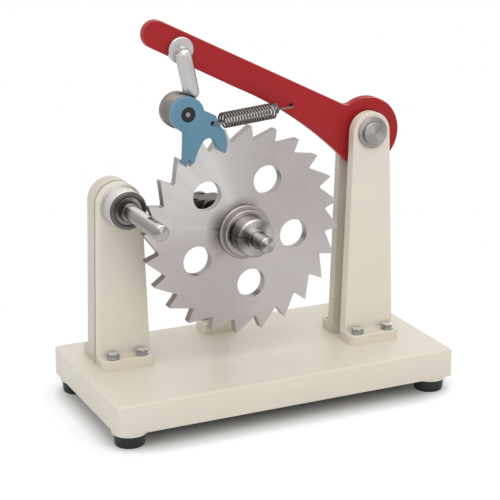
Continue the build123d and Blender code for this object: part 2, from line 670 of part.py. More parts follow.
def pawl_bush():
    """Black bush in the pawl's eye, running on the pin."""
    inner = PAWL_PIN_RADIUS + RUNNING_CLEARANCE
    return ring_y(PAWL_BUSH_RADIUS, inner, PAWL_FRONT_Y, PAWL_BACK_Y, PAWL_X, PAWL_Z)


def pawl_spacer():
    """Washer that keeps the pawl off the carrier's eye."""
    inner = PAWL_PIN_RADIUS + RUNNING_CLEARANCE
    return ring_y(PAWL_SPACER_RADIUS, inner, PAWL_BACK_Y, EYE_FRONT_Y - SIDE_CLEARANCE, PAWL_X, PAWL_Z)


def polar(radius, angle):
    """A point on the wheel, from its radius and its angle in degrees."""
    return Vector(WHEEL_X + radius * cos(radians(angle)), WHEEL_Z + radius * sin(radians(angle)))


def pawl_tooth():
    """Hardened tooth behind the leg's toe, lying in the gullet of the wheel.

    Its lower corner is set off from the steep face of one tooth and from the back of the next.
    """
    gullet = polar(ROOT_RADIUS, TIP_ANGLE + 360 / TEETH - STEEP_FACE_ANGLE)
    steep = (polar(TIP_RADIUS, TIP_ANGLE + 360 / TEETH) - gullet).normalized()
    back = (polar(TIP_RADIUS, TIP_ANGLE) - gullet).normalized()
    opening = steep.X * back.Y - steep.Y * back.X
    corner = gullet - back * (DOG_STEEP_GAP / opening) - steep * (DOG_BACK_GAP / opening)
    far = corner + back * DOG_LENGTH
    section = make_face(
        Polyline(corner, far, far + steep * DOG_SLANT, corner + steep * DOG_SLANT, close=True)
    )
    return plate_y(section, PAWL_BACK_Y, WHEEL_BACK_Y - DOG_WHEEL_OVERHANG)


# --- return spring ---------------------------------------------------------------------------
def wire_bar(start, end):
    """Straight piece of spring wire with a round end."""
    bar = Cylinder(SPRING_WIRE_RADIUS, (end - start).length, align=(Align.CENTER, Align.CENTER, Align.MIN))
    return Plane(origin=start, z_dir=end - start) * bar + Pos(*end) * Sphere(SPRING_WIRE_RADIUS)


def return_spring():
    """Extension spring: a loop through the pawl's arm, a coil, and a hook back into the lever."""
    start = Vector(HOOK_HOLE_X, (PAWL_FRONT_Y + PAWL_BACK_Y) / 2, HOOK_HOLE_Z)
    bend = Vector(SPRING_LEVER_HOLE_X, LEVER_FRONT_Y - SPRING_LEVER_GAP, SPRING_LEVER_HOLE_Z)
    axis = (bend - start).normalized()
    coil_base = Plane(origin=start + axis * SPRING_START, x_dir=(0, 0, 1), z_dir=axis)
    helix = Helix(SPRING_LENGTH / SPRING_TURNS, SPRING_LENGTH, SPRING_RADIUS)
    section = Plane(origin=helix @ 0, z_dir=helix % 0) * Circle(SPRING_WIRE_RADIUS)
    coil = coil_base * sweep(section, helix)
    along = Vector(axis.X, 0, axis.Z).normalized()
    loop_centre = start + along * (LOOP_RADIUS - LOOP_SETBACK)
    loop = Plane(origin=loop_centre, x_dir=along, z_dir=along.cross(Vector(0, 1, 0))) * Torus(
        LOOP_RADIUS, SPRING_WIRE_RADIUS
    )
    loop_end = loop_centre + along * LOOP_RADIUS
    coil_start = coil_base.from_local_coords(helix @ 0)
    coil_end = coil_base.from_local_coords(helix @ 1)
    hook_start = coil_base.origin + axis * (SPRING_LENGTH + 3 * SPRING_WIRE_RADIUS)
    hook_tip = Vector(bend.X, LEVER_BACK_Y + HOOK_PAST_LEVER, bend.Z)
    return coil + loop + [
        wire_bar(loop_end, coil_start),
        wire_bar(coil_end, hook_start),
        wire_bar(hook_start, bend),
        wire_bar(bend, hook_tip),
    ]


# --- toothed wheel and its shaft -------------------------------------------------------------
def wheel_outline():
    """Saw-toothed disc: each tooth has a steep face on its clockwise side and a long back."""
    pitch = 360 / TEETH
    points = []
    for tooth in range(TEETH):
        tip = TIP_ANGLE - tooth * pitch
        points.append(polar(TIP_RADIUS, tip + TIP_LAND_ANGLE))
        points.append(polar(TIP_RADIUS, tip))
        points.append(polar(ROOT_RADIUS, tip - STEEP_FACE_ANGLE))
    disc = make_face(Polyline(*points, close=True))
    gullets = [v for v in disc.vertices() if hypot(v.X - WHEEL_X, v.Y - WHEEL_Z) < ROOT_RADIUS + 1]
    return fillet(gullets, GULLET_RADIUS)


def ratchet_wheel():
    """Toothed disc with its ring of round holes and the hub's bore."""
    outline = wheel_outline()
    for hole in range(HOLES):
        centre = polar(HOLE_CIRCLE_RADIUS, HOLE_ANGLE + hole * 360 / HOLES)
        outline -= Pos(centre.X, centre.Y) * Circle(HOLE_RADIUS)
    outline -= Pos(WHEEL_X, WHEEL_Z) * Circle(HUB_SPIGOT_RADIUS)
    return plate_y(outline, WHEEL_FRONT_Y, WHEEL_BACK_Y)


def on_wheel_axis(profile):
    """Turn a half section, given as (radius, y) points, about the wheel's axis."""
    turned = revolve(Plane.XY * make_face(Polyline(*profile, close=True)), Axis.Y)
    return Pos(WHEEL_X, 0, WHEEL_Z) * turned


def wheel_hub():
    """Turned hub: flange on the wheel's face, stepped body, nose, and spigot through the wheel."""
    flange_front = WHEEL_FRONT_Y - HUB_FLANGE_HEIGHT
    base_front = flange_front - HUB_BASE_LENGTH
    back = WHEEL_BACK_Y + HUB_NUT_HEIGHT
    hub = on_wheel_axis([
        (SHAFT_RADIUS, HUB_FRONT_Y - HUB_STEP_HEIGHT),
        (HUB_STEP_RADIUS, HUB_FRONT_Y - HUB_STEP_HEIGHT),
        (HUB_STEP_RADIUS, HUB_FRONT_Y),
        (HUB_BODY_RADIUS - HUB_BODY_CHAMFER, HUB_FRONT_Y),
        (HUB_BODY_RADIUS, HUB_FRONT_Y + HUB_BODY_CHAMFER),
        (HUB_BODY_RADIUS, base_front - HUB_GROOVE_WIDTH),
        (HUB_BODY_RADIUS - HUB_GROOVE_DEPTH, base_front - HUB_GROOVE_WIDTH),
        (HUB_BODY_RADIUS - HUB_GROOVE_DEPTH, base_front),
        (HUB_BASE_RADIUS - SHAFT_CHAMFER, base_front),
        (HUB_BASE_RADIUS, base_front + SHAFT_CHAMFER),
        (HUB_BASE_RADIUS, flange_front),
        (HUB_FLANGE_RADIUS - SHAFT_CHAMFER, flange_front),
        (HUB_FLANGE_RADIUS, flange_front + SHAFT_CHAMFER),
        (HUB_FLANGE_RADIUS, WHEEL_FRONT_Y),
        (HUB_SPIGOT_RADIUS, WHEEL_FRONT_Y),
        (HUB_SPIGOT_RADIUS, back),
        (SHAFT_RADIUS, back),
    ])
    return hub - key_block()


def hub_nut():
    """Round clamp nut on the spigot behind the wheel."""
    back = WHEEL_BACK_Y + HUB_NUT_HEIGHT
    return ring_y(HUB_NUT_RADIUS, HUB_SPIGOT_RADIUS, WHEEL_BACK_Y, back, WHEEL_X, WHEEL_Z)


def key_block():
    """Parallel key at the lower left of the shaft, open at the hub's front."""
    key = Box(KEY_WIDTH, KEY_LENGTH, KEY_HEIGHT, align=(Align.CENTER, Align.MIN, Align.CENTER))
    turn = Rot(0, -45, 0) * Pos(0, HUB_FRONT_Y - HUB_STEP_HEIGHT, -SHAFT_RADIUS) * key
    return Pos(WHEEL_X, 0, WHEEL_Z) * turn


def wheel_shaft():
    """Shaft from the stepped nose, through the hub, to the rear bearing block."""
    step = HUB_FRONT_Y - HUB_STEP_HEIGHT
    shaft = on_wheel_axis([
        (0, SHAFT_FRONT_Y),
        (SHAFT_NOSE_RADIUS - SHAFT_CHAMFER, SHAFT_FRONT_Y),
        (SHAFT_NOSE_RADIUS, SHAFT_FRONT_Y + SHAFT_CHAMFER),
        (SHAFT_NOSE_RADIUS, step - SHAFT_CHAMFER),
        (SHAFT_RADIUS, step),
        (SHAFT_RADIUS, BLOCK_BACK_Y + SIDE_CLEARANCE + COLLAR_WIDTH + 1),
        (0, BLOCK_BACK_Y + SIDE_CLEARANCE + COLLAR_WIDTH + 1),
    ])
    return shaft - key_block()


def shaft_collar(front):
    """Collar clamped on the shaft at one end of the bearing block."""
    if front:
        y_from = PILLAR_FRONT_Y - SIDE_CLEARANCE - COLLAR_WIDTH
    else:
        y_from = BLOCK_BACK_Y + SIDE_CLEARANCE
    return ring_y(COLLAR_RADIUS, SHAFT_RADIUS, y_from, y_from + COLLAR_WIDTH, WHEEL_X, WHEEL_Z)


# --- rear pillar and its bearing block -------------------------------------------------------
def rear_pillar():
    """Narrow angle bracket, set off to one side, with a wider head for the bearing block."""
    height = PILLAR_TOP - TRAY_TOP
    head_bottom = height - PILLAR_HEAD_HEIGHT
    stem = Pos(PILLAR_OFFSET, height / 2) * Rectangle(PILLAR_WIDTH, height)
    head = Pos(0, height - PILLAR_HEAD_HEIGHT / 2) * Rectangle(BLOCK_WIDTH, PILLAR_HEAD_HEIGHT)
    outline = stem + head
    armpit = (PILLAR_OFFSET - PILLAR_WIDTH / 2, head_bottom, 0)
    corner = outline.vertices().sort_by_distance(armpit)[0]
    outline = fillet(corner, BRACKET_INNER_RADIUS)
    plate = plate_y(outline, PILLAR_FRONT_Y, PILLAR_FRONT_Y + PLATE)
    foot = bracket_foot(PILLAR_FOOT_WIDTH, PILLAR_FRONT_Y, 1, PILLAR_DEPTH)
    body = plate + Pos(PILLAR_OFFSET, 0, 0) * foot
    for side in (-1, 1):
        bolt_x = PILLAR_OFFSET + side * PILLAR_BOLT_SPREAD / 2
        screw_x = side * BLOCK_SCREW_SPREAD / 2
        screw_bottom = height - BLOCK_SCREW_BITE
        body -= rod_z(BOLT_HOLE_RADIUS, -1, PLATE + 1, bolt_x, pillar_bolt_y())
        body -= rod_z(BLOCK_SCREW_RADIUS, screw_bottom, height + 1, screw_x, block_screw_y())
    return Pos(WHEEL_X, 0, TRAY_TOP) * body


def block_screw_y():
    """The middle of the pillar's plate."""
    return PILLAR_FRONT_Y + PLATE / 2


def bearing_block():
    """Solid block on the pillar's head, with round shoulders and the bush's bore."""
    top = WHEEL_Z + BLOCK_ABOVE_AXIS
    height = top - PILLAR_TOP
    block = Pos(WHEEL_X, PILLAR_FRONT_Y + BLOCK_LENGTH / 2, PILLAR_TOP + height / 2) * Box(
        BLOCK_WIDTH, BLOCK_LENGTH, height
    )
    shoulders = [e for e in block.edges().filter_by(Axis.Y) if abs(e.center().Z - top) < 1e-3]
    block = fillet(shoulders, BLOCK_CORNER)
    block -= rod_y(
        SHAFT_RADIUS + BUSH_WALL, PILLAR_FRONT_Y - 1, BLOCK_BACK_Y + 1, WHEEL_X, WHEEL_Z
    )
    for side in (-1, 1):
        x = WHEEL_X + side * BLOCK_SCREW_SPREAD / 2
        block -= rod_z(BLOCK_SCREW_RADIUS, PILLAR_TOP - 1, top + 1, x, block_screw_y())
        block -= rod_z(BLOCK_SCREW_HEAD_RADIUS, block_head_bottom(), top + 1, x, block_screw_y())
    return block


def block_head_bottom():
    """Seat of the cap screws, sunk below the block's round shoulders."""
    return WHEEL_Z + BLOCK_ABOVE_AXIS - BLOCK_CORNER - BLOCK_SCREW_HEAD_HEIGHT


def block_screw(side):
    """Cap screw down through the block into the pillar's head."""
    x = WHEEL_X + side * BLOCK_SCREW_SPREAD / 2
    seat = block_head_bottom()
    y = block_screw_y()
    head = rod_z(BLOCK_SCREW_HEAD_RADIUS, seat, seat + BLOCK_SCREW_HEAD_HEIGHT, x, y)
    return head + rod_z(BLOCK_SCREW_RADIUS, PILLAR_TOP - BLOCK_SCREW_BITE, seat + 1, x, y)


def shaft_bush():
    """Bronze bush pressed in the bearing block."""
    inner = SHAFT_RADIUS + RUNNING_CLEARANCE
    return ring_y(SHAFT_RADIUS + BUSH_WALL, inner, PILLAR_FRONT_Y, BLOCK_BACK_Y, WHEEL_X, WHEEL_Z)


# --- spindle and its ball bearing ------------------------------------------------------------
def bearing_housing():
    """Turned housing on the front plate: bearing seat, throat, flange and spigot."""
    housing = rod_y(HOUSING_RADIUS, HOUSING_FRONT_Y, LEFT_FRONT_Y, LEFT_X, SPINDLE_HEIGHT)
    housing = chamfer_rim(housing, HOUSING_RADIUS, HOUSING_FRONT_Y, HOUSING_CHAMFER)
    housing += rod_y(
        HOUSING_FLANGE_RADIUS, LEFT_FRONT_Y - HOUSING_FLANGE_HEIGHT, LEFT_FRONT_Y, LEFT_X, SPINDLE_HEIGHT
    )
    housing += rod_y(HOUSING_SPIGOT_RADIUS, LEFT_FRONT_Y - 1, LEFT_Y, LEFT_X, SPINDLE_HEIGHT)
    housing -= rod_y(BEARING_OUTER_RADIUS, HOUSING_FRONT_Y - 1, BEARING_BACK_Y, LEFT_X, SPINDLE_HEIGHT)
    return housing - rod_y(HOUSING_THROAT_RADIUS, HOUSING_FRONT_Y, LEFT_Y + 1, LEFT_X, SPINDLE_HEIGHT)


def spindle_ring(outer, inner, y_from, y_to):
    """A ring about the spindle's axis."""
    return ring_y(outer, inner, y_from, y_to, LEFT_X, SPINDLE_HEIGHT)


def bearing_outer_ring():
    """Outer ring of the ball bearing, standing a little proud of the housing."""
    ring = spindle_ring(BEARING_OUTER_RADIUS, OUTER_RACE_RADIUS, BEARING_FRONT_Y, BEARING_BACK_Y)
    return chamfer_rim(ring, BEARING_OUTER_RADIUS, BEARING_FRONT_Y, BEARING_EDGE)


def bearing_inner_ring():
    """Inner ring of the ball bearing, tight on the spindle."""
    return spindle_ring(INNER_RACE_RADIUS, SPINDLE_RADIUS, BEARING_FRONT_Y, BEARING_BACK_Y)


def bearing_balls():
    """The ring of balls between the two races."""
    mean = (INNER_RACE_RADIUS + OUTER_RACE_RADIUS) / 2
    middle = (BEARING_FRONT_Y + BEARING_BACK_Y) / 2
    balls = []
    for ball in range(BALLS):
        angle = radians(ball * 360 / BALLS)
        x, z = LEFT_X + mean * cos(angle), SPINDLE_HEIGHT + mean * sin(angle)
        balls.append(Pos(x, middle, z) * Sphere(BALL_RADIUS))
    return Compound(balls)


def bearing_shields():
    """Thin shields near both faces of the bearing, held by its outer ring."""
    inner = INNER_RACE_RADIUS + RACE_CLEARANCE
    front, back = BEARING_FRONT_Y + SHIELD_SETBACK, BEARING_BACK_Y - SHIELD_SETBACK
    return Compound([
        spindle_ring(OUTER_RACE_RADIUS, inner, front, front + SHIELD_THICKNESS),
        spindle_ring(OUTER_RACE_RADIUS, inner, back - SHIELD_THICKNESS, back),
    ])


def bearing_clips():
    """Black spring rings that hold the shields."""
    inner = OUTER_RACE_RADIUS - CLIP_WIDTH
    front, back = BEARING_FRONT_Y + SHIELD_SETBACK, BEARING_BACK_Y - SHIELD_SETBACK
    return Compound([
        spindle_ring(OUTER_RACE_RADIUS, inner, front - CLIP_THICKNESS, front),
        spindle_ring(OUTER_RACE_RADIUS, inner, back, back + CLIP_THICKNESS),
    ])


def spindle_bush():
    """Flanged bush in the rear plate of the left upright."""
    inner = SPINDLE_RADIUS + RUNNING_CLEARANCE
    flange_y = LEFT_BACK_Y + LEFT_BACK_PLATE
    sleeve = spindle_ring(SPINDLE_RADIUS + BUSH_WALL, inner, LEFT_BACK_Y, flange_y)
    flange = spindle_ring(BACK_BUSH_FLANGE_RADIUS, inner, flange_y, flange_y + BACK_BUSH_FLANGE_HEIGHT)
    return sleeve + flange


def spindle_back_y():
    """Rear face of the bush's flange, where the spindle's collar runs."""
    return LEFT_BACK_Y + LEFT_BACK_PLATE + BACK_BUSH_FLANGE_HEIGHT + SIDE_CLEARANCE


def spindle():
    """Bench spindle with a shoulder at the bearing and a key slot near its front end."""
    back = spindle_back_y() + COLLAR_WIDTH + 1
    bar = rod_y(SPINDLE_RADIUS, SPINDLE_FRONT_Y, back, LEFT_X, SPINDLE_HEIGHT)
    bar = chamfer_rim(bar, SPINDLE_RADIUS, SPINDLE_FRONT_Y, SHAFT_CHAMFER)
    shoulder_y = BEARING_FRONT_Y - SPINDLE_SHOULDER_LENGTH
    bar += rod_y(SPINDLE_SHOULDER_RADIUS, shoulder_y, BEARING_FRONT_Y, LEFT_X, SPINDLE_HEIGHT)
    corner = (Align.CENTER, Align.MIN, Align.MAX)
    slot = Box(SPINDLE_SLOT_WIDTH, SPINDLE_SLOT_LENGTH, SPINDLE_SLOT_DEPTH, align=corner)
    slot_y = SPINDLE_FRONT_Y + SPINDLE_SLOT_SETBACK
    return bar - Pos(LEFT_X, slot_y, SPINDLE_HEIGHT + SPINDLE_RADIUS) * slot


def spindle_collar():
    """Collar clamped on the spindle behind the rear plate."""
    y = spindle_back_y()
    return spindle_ring(COLLAR_RADIUS, SPINDLE_RADIUS, y, y + COLLAR_WIDTH)


def main():
    """Build every node and write one STEP file for each."""
    bolts, feet = bracket_bolt_places(), foot_places()
    nodes = {
        "base_tray": base_tray(),
        "foot_plates": Compound([foot_plate(x, y) for x, y in feet.values()]),
        "foot_screws": Compound([foot_screw(x, y) for x, y in feet.values()]),
        "foot_nuts": Compound([foot_nut(x, y) for x, y in feet.values()]),
        "left_front_bracket": left_bracket(front=True),
        "left_back_bracket": left_bracket(front=False),
        "right_front_bracket": right_bracket(front=True),
        "right_back_bracket": right_bracket(front=False),
        "bracket_washers": Compound([bracket_washer(x, y) for x, y in bolts]),
        "bracket_bolts": Compound([bracket_bolt(x, y) for x, y in bolts]),
        "bracket_nuts": Compound([bracket_nut(x, y) for x, y in bolts]),
        "pivot_pin": pivot_pin(),
        "pivot_washer_front": pivot_washer(front=True),
        "pivot_washer_back": pivot_washer(front=False),
        "pivot_nut": pivot_nut(),
        "lever_spacer_front": lever_spacer(front=True),
        "lever_spacer_back": lever_spacer(front=False),
        "lever_arm": lever_arm(),
        "lever_bush": lever_bush(),
        "lever_boss": lever_boss(),
        "carrier_stud": carrier_stud(),
        "carrier_nut": carrier_nut(),
        "carrier_rod": carrier_rod(),
        "pawl_pin": pawl_pin(),
        "pawl_plate": pawl_plate(),
        "pawl_bush": pawl_bush(),
        "pawl_spacer": pawl_spacer(),
        "pawl_tooth": pawl_tooth(),
        "return_spring": return_spring(),
        "ratchet_wheel": ratchet_wheel(),
        "wheel_hub": wheel_hub(),
        "hub_nut": hub_nut(),
        "hub_key": key_block(),
        "wheel_shaft": wheel_shaft(),
        "shaft_collar_front": shaft_collar(front=True),
        "shaft_collar_back": shaft_collar(front=False),
        "rear_pillar": rear_pillar(),
        "bearing_block": bearing_block(),
        "block_screws": Compound([block_screw(-1), block_screw(1)]),
        "shaft_bush": shaft_bush(),
        "bearing_housing": bearing_housing(),
        "bearing_outer_ring": bearing_outer_ring(),
        "bearing_inner_ring": bearing_inner_ring(),
        "bearing_balls": bearing_balls(),
        "bearing_shields": bearing_shields(),
        "bearing_clips": bearing_clips(),
        "spindle_bush": spindle_bush(),
        "spindle": spindle(),
        "spindle_collar": spindle_collar(),
    }
    for name, (x, y) in feet.items():
        nodes[f"foot_{name}"] = rubber_foot(x, y)
    os.makedirs("parts", exist_ok=True)
    for name, shape in nodes.items():
        export_step(shape, f"parts/{name}.step")


if __name__ == "__main__":
    main()
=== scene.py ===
"""Looks of the ratchet wheel and pawl demonstrator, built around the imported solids.

All lengths in the classes are millimetres in the part's own frame: +Z up, +X towards the lever's
pivot, +Y towards the rear.  Meshes are written in metres.
"""

import json
import logging
import math
from dataclasses import dataclass, field
from enum import Enum
from functools import cached_property
from typing import Any, Dict, List, Optional, Sequence, Tuple

import bmesh
import bpy
import numpy as np
from mathutils import Matrix, Vector


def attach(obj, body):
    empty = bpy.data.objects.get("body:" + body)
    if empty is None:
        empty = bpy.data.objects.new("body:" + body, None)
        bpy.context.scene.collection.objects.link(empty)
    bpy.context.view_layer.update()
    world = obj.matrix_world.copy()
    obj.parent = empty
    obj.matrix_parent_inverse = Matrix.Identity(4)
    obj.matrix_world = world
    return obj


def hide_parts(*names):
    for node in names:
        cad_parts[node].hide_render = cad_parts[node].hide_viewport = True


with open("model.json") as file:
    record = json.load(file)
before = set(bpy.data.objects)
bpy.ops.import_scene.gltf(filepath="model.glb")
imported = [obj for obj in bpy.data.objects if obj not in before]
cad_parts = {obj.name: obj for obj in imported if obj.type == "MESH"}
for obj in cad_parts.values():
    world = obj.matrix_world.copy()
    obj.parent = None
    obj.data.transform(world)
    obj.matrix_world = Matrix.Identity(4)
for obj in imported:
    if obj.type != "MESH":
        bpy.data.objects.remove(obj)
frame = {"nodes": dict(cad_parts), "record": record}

LOG = logging.getLogger("demonstrator")
MM = 0.001
TAU = 2.0 * math.pi
QUARTER = TAU / 4
Colour = Tuple[float, float, float]
Pair = Tuple[float, float]
Point = Tuple[float, float, float]
Profile = Sequence[Pair]
WHITE = (1.0, 1.0, 1.0)

# X and Z of the axes that run along Y.
WHEEL_AXIS = (-20.5, 171.8)
SPINDLE_AXIS = (-129.0, 200.3)
LEVER_AXIS = (115.5, 253.5)
PAWL_AXIS = (-79.0, 290.8)
UP = np.array([0.0, 0.0, 1.0])
REARWARD = np.array([0.0, 1.0, 0.0])


# --- shader expressions ---
class Bench:
    """The node tree of a material or world, with one method that places any node."""

    def __init__(self, owner: Any) -> None:
        """Empty the tree of a new material or world.

        Args:
            owner: The material or world.
        """
        owner.use_nodes = True
        self.owner, self.tree = owner, owner.node_tree
        self.tree.nodes.clear()

    def node(self, kind: str, settings: Optional[Dict[str, Any]] = None, **values: Any) -> Any:
        """Place a node.

        Args:
            kind: The node's Blender type.
            settings: Properties that are set before its sockets.
            values: Socket names, with underscores for spaces, and their numbers, colours or links.

        Returns:
            The node.
        """
        made = self.tree.nodes.new(kind)
        for key, value in (settings or {}).items():
            setattr(made, key, value)
        for key, value in values.items():
            self.feed(made.inputs[key.replace("_", " ")], value)
        return made

    def feed(self, socket: Any, value: Any) -> None:
        """Link or set one socket.

        Args:
            socket: The input socket.
            value: A Signal, an output socket, a number, or a colour or vector.
        """
        if isinstance(value, Signal):
            value = value.socket
        if isinstance(value, bpy.types.NodeSocket):
            self.tree.links.new(value, socket)
        elif isinstance(value, (tuple, list)) and len(value) == 3 and socket.type == "RGBA":
            socket.default_value = (*value, 1.0)
        else:
            socket.default_value = value

    def place(self) -> Any:
        """Object coordinates, which are the part's own frame in metres."""
        return self.node("ShaderNodeTexCoord").outputs["Object"]

    def axes(self) -> Tuple["Signal", "Signal", "Signal"]:
        """The part's X, Y and Z at the shaded point, in millimetres."""
        split = self.node("ShaderNodeSeparateXYZ", Vector=self.place())
        return tuple(Signal(self, split.outputs[k]) * (1.0 / MM) for k in range(3))

    def facing(self, direction: Point) -> "Signal":
        """Cosine between the surface's normal and a direction.

        Args:
            direction: A vector of length 1.

        Returns:
            The cosine.
        """
        made = self.node("ShaderNodeVectorMath", {"operation": "DOT_PRODUCT"})
        self.feed(made.inputs[0], self.node("ShaderNodeTexCoord").outputs["Normal"])
        self.feed(made.inputs[1], direction)
        return Signal(self, made.outputs["Value"])

    def vector(self, x: Any, y: Any, z: Any) -> Any:
        """Join three numbers or Signals to a vector."""
        return self.node("ShaderNodeCombineXYZ", X=x, Y=y, Z=z).outputs[0]

    def noise(self, vector: Any, scale: float, detail: float = 2.0, rough: float = 0.5) -> "Signal":
        """Smooth random values about 0.5: scale of them to a unit, in octaves that weaken by rough."""
        made = self.node("ShaderNodeTexNoise", Vector=vector, Scale=scale, Detail=detail, Roughness=rough)
        return Signal(self, made.outputs[0])

    def mix(self, share: Any, first: Any, second: Any) -> Any:
        """Mix two colours.

        Args:
            share: 0 gives first and 1 gives second.
            first: A colour or link.
            second: A colour or link.

        Returns:
            The mixed colour's socket.
        """
        made = self.node("ShaderNodeMix", {"data_type": "RGBA"})
        for k, value in ((0, share), (6, first), (7, second)):
            self.feed(made.inputs[k], value)
        return made.outputs[2]

    def bump(self, height: "Signal", depth_mm: float) -> Any:
        """A normal bent by a height from 0 to 1, where 1 is depth_mm on the real piece."""
        return self.node("ShaderNodeBump", Strength=1.0, Distance=depth_mm * MM, Height=height).outputs[0]

    def blend(self, share: Any, first: Any, second: Any) -> Any:
        """Mix two shaders.

        Args:
            share: 0 gives first and 1 gives second.
            first: A shader's node.
            second: A shader's node.

        Returns:
            The Mix Shader node.
        """
        made = self.node("ShaderNodeMixShader")
        for socket, value in zip(made.inputs, (share, first.outputs[0], second.outputs[0])):
            self.feed(socket, value)
        return made

    def rays(self, *kinds: str) -> "Signal":
        """1 for rays of the named kinds and 0 for all others.

        Args:
            kinds: Names of the Light Path node's outputs.

        Returns:
            The value.
        """
        outputs = self.node("ShaderNodeLightPath").outputs
        seen = [Signal(self, outputs[kind]) for kind in kinds]
        return sum(seen[1:], seen[0]).clamp()

    def close(self, shader: Any, output: str = "ShaderNodeOutputMaterial") -> Any:
        """Link a shader's node to an output node and return the material or world."""
        self.feed(self.node(output).inputs[0], shader.outputs[0])
        return self.owner

    def finish(self, **values: Any) -> bpy.types.Material:
        """Close the material with a Principled shader, whose sockets are given by name."""
        return self.close(self.node("ShaderNodeBsdfPrincipled", None, **values))


class Signal:
    """A number that varies over a surface, with Python's arithmetic on it."""

    def __init__(self, bench: Bench, socket: Any) -> None:
        """Wrap an output socket."""
        self.bench, self.socket = bench, socket

    def _do(self, operation: str, *values: Any, clamp: bool = False) -> "Signal":
        """Place one Math node.

        Args:
            operation: Its operation.
            values: What its inputs get, in order.
            clamp: True to hold its result between 0 and 1.

        Returns:
            Its result.
        """
        made = self.bench.node("ShaderNodeMath", {"operation": operation, "use_clamp": clamp})
        for socket, value in zip(made.inputs, values):
            self.bench.feed(socket, value)
        return Signal(self.bench, made.outputs[0])

    def __add__(self, other: Any) -> "Signal":
        """self + other."""
        return self._do("ADD", self, other)

    def __sub__(self, other: Any) -> "Signal":
        """self - other."""
        return self._do("SUBTRACT", self, other)

    def __mul__(self, other: Any) -> "Signal":
        """self * other."""
        return self._do("MULTIPLY", self, other)

    def __truediv__(self, other: Any) -> "Signal":
        """self / other."""
        return self._do("DIVIDE", self, other)

    def __pow__(self, other: Any) -> "Signal":
        """self ** other."""
        return self._do("POWER", self, other)

    def clamp(self) -> "Signal":
        """Held between 0 and 1."""
        return self._do("ADD", self, 0.0, clamp=True)

    def ramp(self, low: float, high: float) -> "Signal":
        """0 at low, 1 at high, and straight between."""
        return ((self - low) * (1.0 / (high - low))).clamp()

    def absolute(self) -> "Signal":
        """Its size without its sign."""
        return self._do("ABSOLUTE", self)

    def root(self) -> "Signal":
        """Its square root."""
        return self._do("SQRT", self)


# --- finishes ---
@dataclass(frozen=True)
class Enamel:
    """Sprayed paint on metal, with a fine orange peel, faint clouds in its colour and, where one is given, a
    painted highlight.
    """

    name: str
    colour: Colour
    cloud: Colour
    roughness: float
    peel_mm: float
    peel_depth_mm: float
    coat: float
    shine: float = 0.5
    painted_highlight: Optional[Tuple[Point, Colour]] = None
    cloud_scale: float = 16.0
    speck_scale: float = 900.0
    sheen_scale: float = 70.0
    sheen_range: float = 0.14

    def make(self) -> bpy.types.Material:
        """Build the material.

        Returns:
            The material.
        """
        bench = Bench(bpy.data.materials.new(self.name))
        place = bench.place()
        clouds = bench.noise(place, self.cloud_scale, 3.0, 0.55).ramp(0.3, 0.72)
        specks = bench.noise(place, self.speck_scale, 1.0).ramp(0.62, 0.8)
        colour = bench.mix(clouds, self.colour, self.cloud)
        colour = bench.mix(specks * 0.05, colour, tuple(0.55 * c for c in self.colour))
        # Painted highlight: the colour turns lighter where the surface faces one given direction.
        if self.painted_highlight:
            colour = bench.mix(bench.facing(self.painted_highlight[0]).ramp(0.88, 0.97), colour, self.painted_highlight[1])
        peel = bench.noise(place, 1.0 / (self.peel_mm * MM), 2.0, 0.45)
        rough = bench.noise(place, self.sheen_scale, 3.0) * self.sheen_range
        rough = rough + (self.roughness - self.sheen_range / 2)
        return bench.finish(
            Base_Color=colour, Roughness=rough, Coat_Weight=self.coat, Coat_Roughness=0.12,
            Specular_IOR_Level=self.shine, Normal=bench.bump(peel, self.peel_depth_mm),
        )


@dataclass(frozen=True)
class Sector:
    """A soft fan of painted highlight or painted reflection about an axis, standing in for the light that
    turning marks catch.

    Where reach is given, the fan fades out from its first radius to its second.
    """

    middle_deg: float
    half_deg: float
    colour: Colour
    share: float
    reach: Optional[Pair] = None

    def lay(self, bench: Bench, below: Any, dx: Signal, dz: Signal, radius: Signal) -> Any:
        """Lay the painted highlight or reflection over a colour: it fades with the cosine of the angle from
        its middle.

        Args:
            bench: The material.
            below: The colour beneath.
            dx: Distance from the axis along X.
            dz: Distance from the axis along Z.
            radius: Distance from the axis.

        Returns:
            The mixed colour's socket.
        """
        across, up = dx / radius, dz / radius
        middle = math.radians(self.middle_deg)
        near = across * math.cos(middle) + up * math.sin(middle)
        fan = near.ramp(math.cos(math.radians(self.half_deg)), 1.0)
        streaks = bench.noise(bench.vector(across, up, 0.0), 7.0, 3.0, 0.6).ramp(0.25, 0.75)
        fan = fan * (streaks * 0.5 + 0.5) * self.share
        if self.reach:
            fan = fan * radius.ramp(self.reach[1], self.reach[0])
        return bench.mix(fan, below, self.colour)


